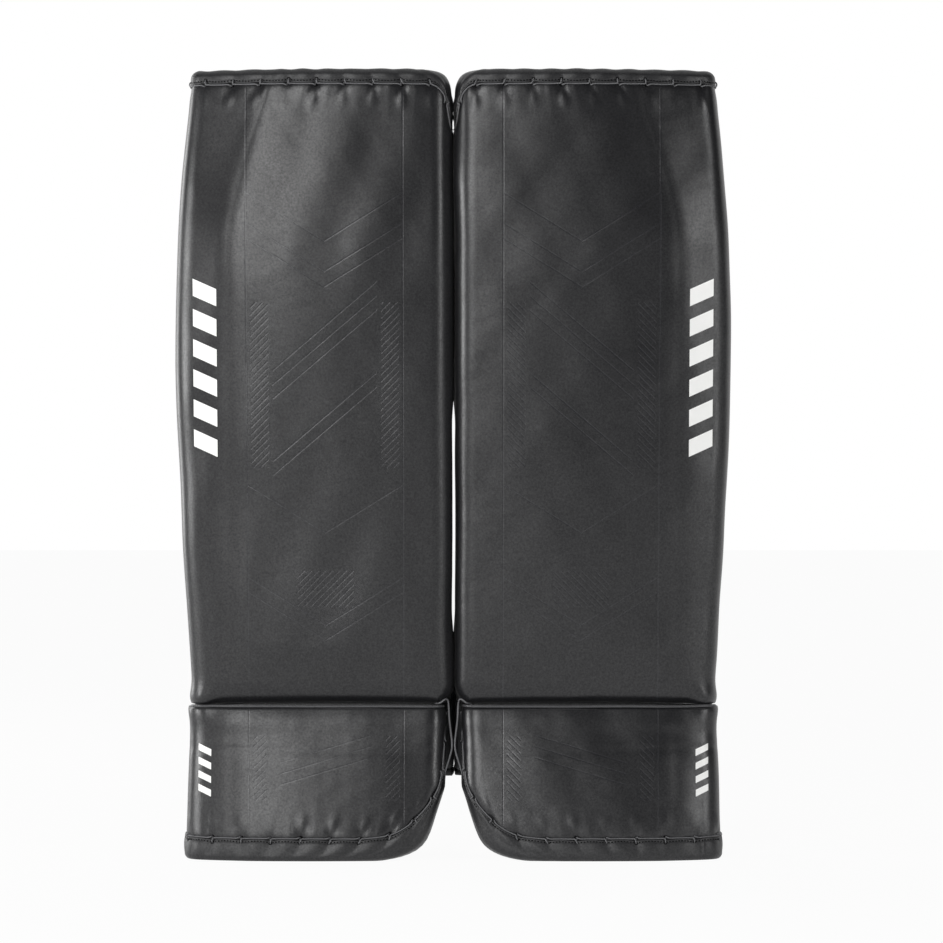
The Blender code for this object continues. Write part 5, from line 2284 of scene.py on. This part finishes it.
    def strap_trim(self, name: str, flat: Array, narrow: Array, up: Array,
                   width: float) -> None:
        """Sew two rows along a strap and a crossed box at its tip.

        Args:
            name: The strap's node, without the side.
            flat: Places along its middle, as (u, d, h).
            narrow: Share of the width at each place.
            up: The strap's outer side at each place, as (u, d, h).
            width: Full width.
        """
        side, stand = self.stand.side, self.stand
        top = flat + unit(up) * (self.strap_thickness * 0.43 + 0.05 * MM)
        guides = []
        for way in (-1, 1):
            row = top.copy()
            row[:, 2] += way * (width / 2 - 2.6 * MM) * narrow
            guides.append(Guide(stand.world(row), stand.turn(up)))
        first = int(np.argmax(flat[:, 0] < flat[-1, 0] + 30 * MM))
        last = len(flat) - 4
        corners = []
        for i, way in ((first, -1), (first, 1), (last, -1), (last, 1), (first, -1)):
            place = top[i].copy()
            place[2] += way * (width / 2 - 6 * MM) * narrow[i]
            corners.append(place)
        cross = eased_path(corners, 2 * MM, rounds=0)
        facing = np.tile(stand.turn(up[first]), (len(cross), 1))
        guides.append(Guide(stand.world(cross), facing))
        stitches = FINE_STITCH.make(side.node(name + "_stitches"), guides, STITCH)
        dress(stitches, side.node(name))


# Node, piece, body, finish, slot, radius and steps of the rounded edges.
BOOT_PARTS = (
    ("boot_strap_inner", "boot_strap_inner_webbing", "boot", WEBBING, "webbing",
     0.5 * MM, 2),
    ("boot_strap_outer", "boot_strap_outer_webbing", "boot", WEBBING, "webbing",
     0.5 * MM, 2),
    ("boot_buckle_plug", "buckle_plug", "boot_buckle", BUCKLE, "buckle_plastic",
     0.7 * MM, 3),
    ("boot_buckle_socket", "buckle_socket", "boot", BUCKLE, "buckle_plastic",
     0.6 * MM, 3),
    ("toe_bridge", "toe_bridge_leather", "boot", BLOCK_LEATHER, "landing_leather",
     1.6 * MM, 3),
    ("toe_strap", "toe_strap_elastic", "toe_strap", WEBBING, "webbing", 1.0 * MM, 3),
)


@dataclass
class BootChannel:
    """Everything behind the boot: wings, the buckled strap and the toe strap.

    Attributes:
        stand: The boot's frame.
    """

    stand: Stand

    def build(self) -> None:
        """Build the wings, the webbing, the buckle, the bridge and the toe strap."""
        side = self.stand.side
        boot = side.node("boot")
        channel = LegChannel(self.stand, boot, tape=8 * MM)
        for name in ("inner_boot_wing", "outer_boot_wing"):
            channel.wing(name, boot, BOOT_WING)
        for node, name, body, finish, slot, bevel, steps in BOOT_PARTS:
            piece = node_copy(side.node(node), side.node(name), finish, bevel, steps)
            dress(piece, side.node(body), [side.node(node)])


@dataclass
class BackCover:
    """The sewn nylon back of a part: a thin quilted panel with tape round it.

    Attributes:
        skin: Surface whose back the panel lies on.
        low: Lowest height.
        high: Highest height.
        inset: Edge of the panel to the pad's own edge.
        channels: u of the quilting lines.
        levels: Heights of the cross lines.
    """

    skin: Skin
    low: float
    high: float
    channels: tuple[float, ...]
    levels: tuple[float, ...]
    inset: float = 4 * MM

    def place(self, u: Array, z: Array, lift: Array | float) -> Array:
        """Return world places behind the pad."""
        skin = self.skin
        y = skin.form.front_line(z) + skin.form.depth + lift
        return np.stack([skin.side.way * (skin.form.gap + u), y, z], -1)

    def edges(self, z: Array) -> tuple[Array, Array]:
        """Return u of the panel's inner and outer edges at heights."""
        form, boot = self.skin.form, self.skin.boot
        inner = np.array([form.inner(h, boot) for h in z]) + self.inset
        outer = np.array([form.outer(h, boot) for h in z]) - self.inset
        return inner, outer

    def build(self, name: str, body: str, node: str) -> None:
        """Build the panel, its tape and its stitches.

        Args:
            name: Start of the pieces' names, without the side.
            body: Body that they ride on, without the side.
            node: The node that the panel replaces, without the side.
        """
        side = self.skin.side
        rows = max(int((self.high - self.low) / (4 * MM)), 8)
        z = np.linspace(self.low, self.high, rows)
        inner, outer = self.edges(z)
        t = np.linspace(0, 1, 70)[None, :]
        u = inner[:, None] + (outer - inner)[:, None] * t
        zz = np.broadcast_to(z[:, None], u.shape)
        groove = np.zeros(u.shape)
        for line in self.channels:
            groove += bell(u - line, 0, 4)
        for level in self.levels:
            groove += bell(zz - level, 0, 4)
        rim = np.minimum(np.minimum(t, 1 - t) * 12, 1.0)
        rear = (0.7 - 0.9 * np.clip(groove, 0, 1)) * MM * rim
        rear = rear + 0.35 * MM * swell(u, zz, 70 * MM, 31) * rim
        back = self.place(u, zz, rear)
        front = self.place(u, zz, np.full(u.shape, -1.6 * MM))
        grid = np.concatenate([back, front[:, ::-1]], axis=1)
        panel = add_tube(side.node(name + "_nylon"), grid, PANEL_NYLON)
        dress(panel, side.node(body), [side.node(node)])
        loop = [(inner[i], z[i]) for i in range(len(z))]
        loop += [(outer[i], z[i]) for i in reversed(range(len(z)))]
        path = eased_path(loop, 3 * MM, rounds=1, closed=True)
        spots = self.place(path[:, 0], path[:, 1], 0.5 * MM)
        up = np.tile((0.0, 1.0, 0.0), (len(path), 1))
        grid = swept(spots, up, ribbon_profile(9 * MM, 1.8 * MM, 5), closed=True)
        tape = add_ring(side.node(name + "_binding"), grid, BINDING)
        dress(tape, side.node(body))
        guides = [Guide(self.place(path[:, 0], path[:, 1], 1.5 * MM), up, closed=True)]
        for line in self.channels:
            h = np.linspace(self.low + 8 * MM, self.high - 8 * MM, 60)
            spot = self.place(np.full(60, line), h, 0.1 * MM)
            guides.append(Guide(spot, np.tile((0.0, 1.0, 0.0), (60, 1))))
        stitches = FINE_STITCH.make(side.node(name + "_stitches"), guides, STITCH)
        dress(stitches, side.node(body))


@dataclass
class BreakGusset:
    """The folded strip of leather that joins the shin and the boot at the break.

    Attributes:
        upper: The shin's surface.
    """

    upper: Skin

    def build(self) -> None:
        """Build the strip."""
        side, form = self.upper.side, self.upper.form
        low, high = form.hinge - 8 * MM, form.hinge + 12 * MM
        loop = self.upper.section(high)
        loop[:, 1] -= form.face_line(high)
        inward = unit(np.roll(loop, -1, 0) - np.roll(loop, 1, 0))
        inward = np.stack([-inward[:, 1], inward[:, 0]], -1)
        front = (1 - ramp(loop[:, 1], 8, 25))[:, None]
        outer = ramp(loop[:, 0] - form.width, -30, 20)[:, None]
        rows = []
        for t in np.linspace(0, 1, 15):
            z = low + (high - low) * t
            tuck = math.sin(math.pi * t) * MM
            deep = front * (1 - outer) * (9.5 * MM + 2.5 * tuck)
            ring = loop + inward * ((3.4 - 3.0 * outer) * MM + 1.2 * tuck + deep)
            rows.append(np.column_stack([side.way * (form.gap + ring[:, 0]),
                                         form.face_line(z) + ring[:, 1],
                                         np.full(len(ring), z)]))
        piece = add_tube(side.node("break_gusset"), np.array(rows), WRAP_LEATHER)
        middle_y = form.face_line(form.hinge) + form.depth / 2
        side.node("boot")
        side.node("pad")
        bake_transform(piece)
        LOG.info("%s bends across the break", piece.name)


# ------------------------------------------------------------------- studio

def rectangle(half: float, front: float, back: float,
              height: float) -> list[tuple[float, float, float]]:
    """Return the corners of a level rectangle, centred across the scene."""
    return [(-half, front, height), (half, front, height), (half, back, height),
            (-half, back, height)]


# Name, place, width and height in metres, and power in watts of each lamp.
LAMPS = (
    ("key_softbox", (-0.95, -2.85, 0.75), (1.0, 1.9), 52.0),
    ("fill_softbox", (2.35, -2.0, 0.5), (0.7, 1.5), 30.0),
    ("left_softbox", (-2.5, -0.95, 0.38), (1.1, 1.05), 48.0),
    ("rim_softbox", (-2.2, 1.4, 0.8), (0.8, 1.9), 24.0),
)
WHITE = (1.0, 1.0, 1.0, 1.0)


@dataclass
class Studio:
    """Pale floor and backdrop, soft lamps and the camera.

    Attributes:
        middle: What the camera and lamps are centred on.
        distance: Camera to the middle of the model.
        view_width: Width seen at the faces of the pads.
        face_depth: World y of the faces.
        sensor: Width of the camera's sensor in millimetres.
        sky: The world's tree, once it is made.
    """

    middle: Vector
    distance: float = 3.6
    view_width: float = 0.943
    face_depth: float = -0.06
    sensor: float = 36.0
    sky: Tree | None = None

    def build(self) -> None:
        """Make the world, the floor, the curtain, the lamps and the camera."""
        self.world()
        self.floor()
        self.curtain()
        self.floor_cloth()
        for lamp in LAMPS:
            self.lamp(*lamp)
        self.camera()

    def seen_white(self, tree: Tree, share: float, under: Socket) -> Socket:
        """Return a shader that turns white for camera, glossy and transmission rays.

        Args:
            tree: The tree.
            share: How much of the white is mixed in for those rays.
            under: The shader that other rays meet.

        Returns:
            The mixed shader.
        """
        rays = add_node(tree, "ShaderNodeLightPath").outputs
        seen = rays["Is Camera Ray"]
        for ray in ("Is Glossy Ray", "Is Transmission Ray"):
            seen = add_node(tree, "ShaderNodeMath", {0: seen, 1: rays[ray]},
                            operation="MAXIMUM").outputs[0]
        mixed = add_node(tree, "ShaderNodeMath", {0: seen, 1: share},
                         operation="MULTIPLY")
        kind = "ShaderNodeBackground" if tree == self.sky else "ShaderNodeEmission"
        white = add_node(tree, kind, {"Color": WHITE, "Strength": 1.0})
        blend = add_node(tree, "ShaderNodeMixShader",
                         {0: mixed.outputs[0], 1: under, 2: white.outputs[0]})
        return blend.outputs[0]

    def floor(self) -> None:
        """Make a wide pale floor that keeps the shadow."""
        mesh = bpy.data.meshes.new("studio_floor")
        mesh.from_pydata(rectangle(14.0, -14.0, 14.0, 0.0), [], [(0, 1, 2, 3)])
        paint = bpy.data.materials.new("matt_studio_paper")
        paint.use_nodes = True
        tree = paint.node_tree
        tree.nodes.clear()
        paper = add_node(tree, "ShaderNodeBsdfDiffuse", {"Color": linear("f4f4f4")})
        seen = self.seen_white(tree, 0.95, paper.outputs[0])
        add_node(tree, "ShaderNodeOutputMaterial", {"Surface": seen})
        stand_up(mesh, paint)

    def world(self) -> None:
        """Make a soft world that the camera sees as white."""
        world = bpy.data.worlds.new("studio_world")
        world.use_nodes = True
        bpy.context.scene.world = world
        tree = world.node_tree
        tree.nodes.clear()
        self.sky = tree
        soft = add_node(tree, "ShaderNodeBackground",
                        {"Color": WHITE, "Strength": 0.36})
        seen = self.seen_white(tree, 1.0, soft.outputs[0])
        add_node(tree, "ShaderNodeOutputWorld", {"Surface": seen})

    def curtain(self) -> None:
        """Hang a dark curtain behind the camera."""
        radius, height = 4.4, 5.5
        turns = np.radians(np.linspace(-105, 105, 40))
        points = [(radius * math.sin(a), -radius * math.cos(a), z)
                  for a in turns for z in (0.0, height)]
        faces = [(i, i + 2, i + 3, i + 1) for i in range(0, len(points) - 2, 2)]
        curtain = self.felt("studio_curtain", points, faces)
        curtain.visible_camera = False

    def floor_cloth(self) -> None:
        """Lay dark felt far in front, which only darkens reflections of the floor."""
        points = rectangle(4.0, -4.3, -1.7, 0.01)
        cloth = self.felt("studio_floor_cloth", points, [(0, 1, 2, 3)])
        cloth.visible_camera = cloth.visible_diffuse = False
        cloth.visible_shadow = cloth.visible_transmission = False

    def felt(self, name: str, points: Sequence[tuple[float, float, float]],
             faces: Sequence[tuple[int, ...]]) -> Piece:
        """Return a staged sheet of dark felt."""
        mesh = bpy.data.meshes.new(name)
        mesh.from_pydata(points, [], faces)
        cloth = bpy.data.materials.get("dark_studio_felt")
        if cloth is None:
            cloth = bpy.data.materials.new("dark_studio_felt")
            cloth.use_nodes = True
            tree = cloth.node_tree
            tree.nodes.clear()
            felt = add_node(tree, "ShaderNodeBsdfDiffuse", {"Color": linear("202020")})
            add_node(tree, "ShaderNodeOutputMaterial", {"Surface": felt.outputs[0]})
        sheet = stand_up(mesh, cloth)
        return sheet

    def lamp(self, name: str, place: tuple[float, float, float],
             size: tuple[float, float], power: float) -> None:
        """Add an area lamp that faces the middle of the pads."""
        light = bpy.data.lights.new(name, "AREA")
        light.shape = "RECTANGLE"
        light.size, light.size_y = size
        light.energy = power
        lamp = bpy.data.objects.new(name, light)
        bpy.context.scene.collection.objects.link(lamp)
        lamp.location = place
        aim = self.middle - Vector(place)
        lamp.rotation_euler = aim.to_track_quat("-Z", "Y").to_euler()

    def camera(self) -> None:
        """Add the camera, level and square to the faces."""
        lens = bpy.data.cameras.new("camera")
        lens.sensor_width = self.sensor
        lens.lens = self.sensor * (self.distance + self.face_depth) / self.view_width
        eye = bpy.data.objects.new("camera", lens)
        bpy.context.scene.collection.objects.link(eye)
        eye.location = (self.middle.x, -self.distance, self.middle.z)
        eye.rotation_euler = (math.pi / 2, 0.0, 0.0)
        bpy.context.scene.camera = eye
        bpy.context.scene.view_settings.view_transform = "Standard"


def build_pad(form: PadForm, side: Side, seeds: tuple[int, int]) -> None:
    """Build one pad, from its casings to everything behind them.

    Args:
        form: Sizes of the pad.
        side: The pad's side.
        seeds: Numbers that pick the unevenness of the shin and of the boot.
    """
    upper, boot = UpperPad(form, side, seeds[0]), BootPad(form, side, seeds[1])
    upper.build()
    boot.build()
    hinge_back = form.face_line(form.hinge) + form.depth
    shin_stand = Stand(side, form.gap, hinge_back, form.hinge, form.shin_lean)
    boot_stand = Stand(side, form.gap, hinge_back, form.hinge, -form.boot_lean)
    LegChannel(shin_stand, side.node("pad")).build()
    BootChannel(boot_stand).build()
    shin_back = BackCover(upper.skin, form.hinge + BREAK_ROOM, form.top_seam - 2 * MM,
                          (64 * MM, 204 * MM), (485 * MM, 628 * MM))
    boot_back = BackCover(boot.skin, form.toe_seam + 3 * MM, form.hinge - BREAK_ROOM,
                          (63 * MM, 214 * MM), ())
    shin_back.build("shin_back", "pad", "back_panel")
    boot_back.build("boot_back", "boot", "boot_back_panel")
    BreakGusset(upper.skin).build()
    for part in (upper, boot):
        rows = ((HEM_STITCH, "hem_stitches", part.guides),
                (LACE_HOLE, "lace_holes", part.holes()))
        for row, word, guides in rows:
            piece = row.make(side.node(f"{part.body}_{word}"), guides, STITCH)
            dress(piece, side.node(part.body))
    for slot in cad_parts[side.node("stiffener_board")].material_slots:
        slot.material = BOARD.material()


def main() -> None:
    """Build both pads and the studio."""
    logging.basicConfig(level=logging.INFO, format="%(name)s: %(message)s")
    form = PadForm.from_frame()
    Studio(VIEW_MIDDLE).build()
    for side in Side:
        build_pad(form, side, UNEVENNESS[side])


if __name__ == "__main__":
    main()
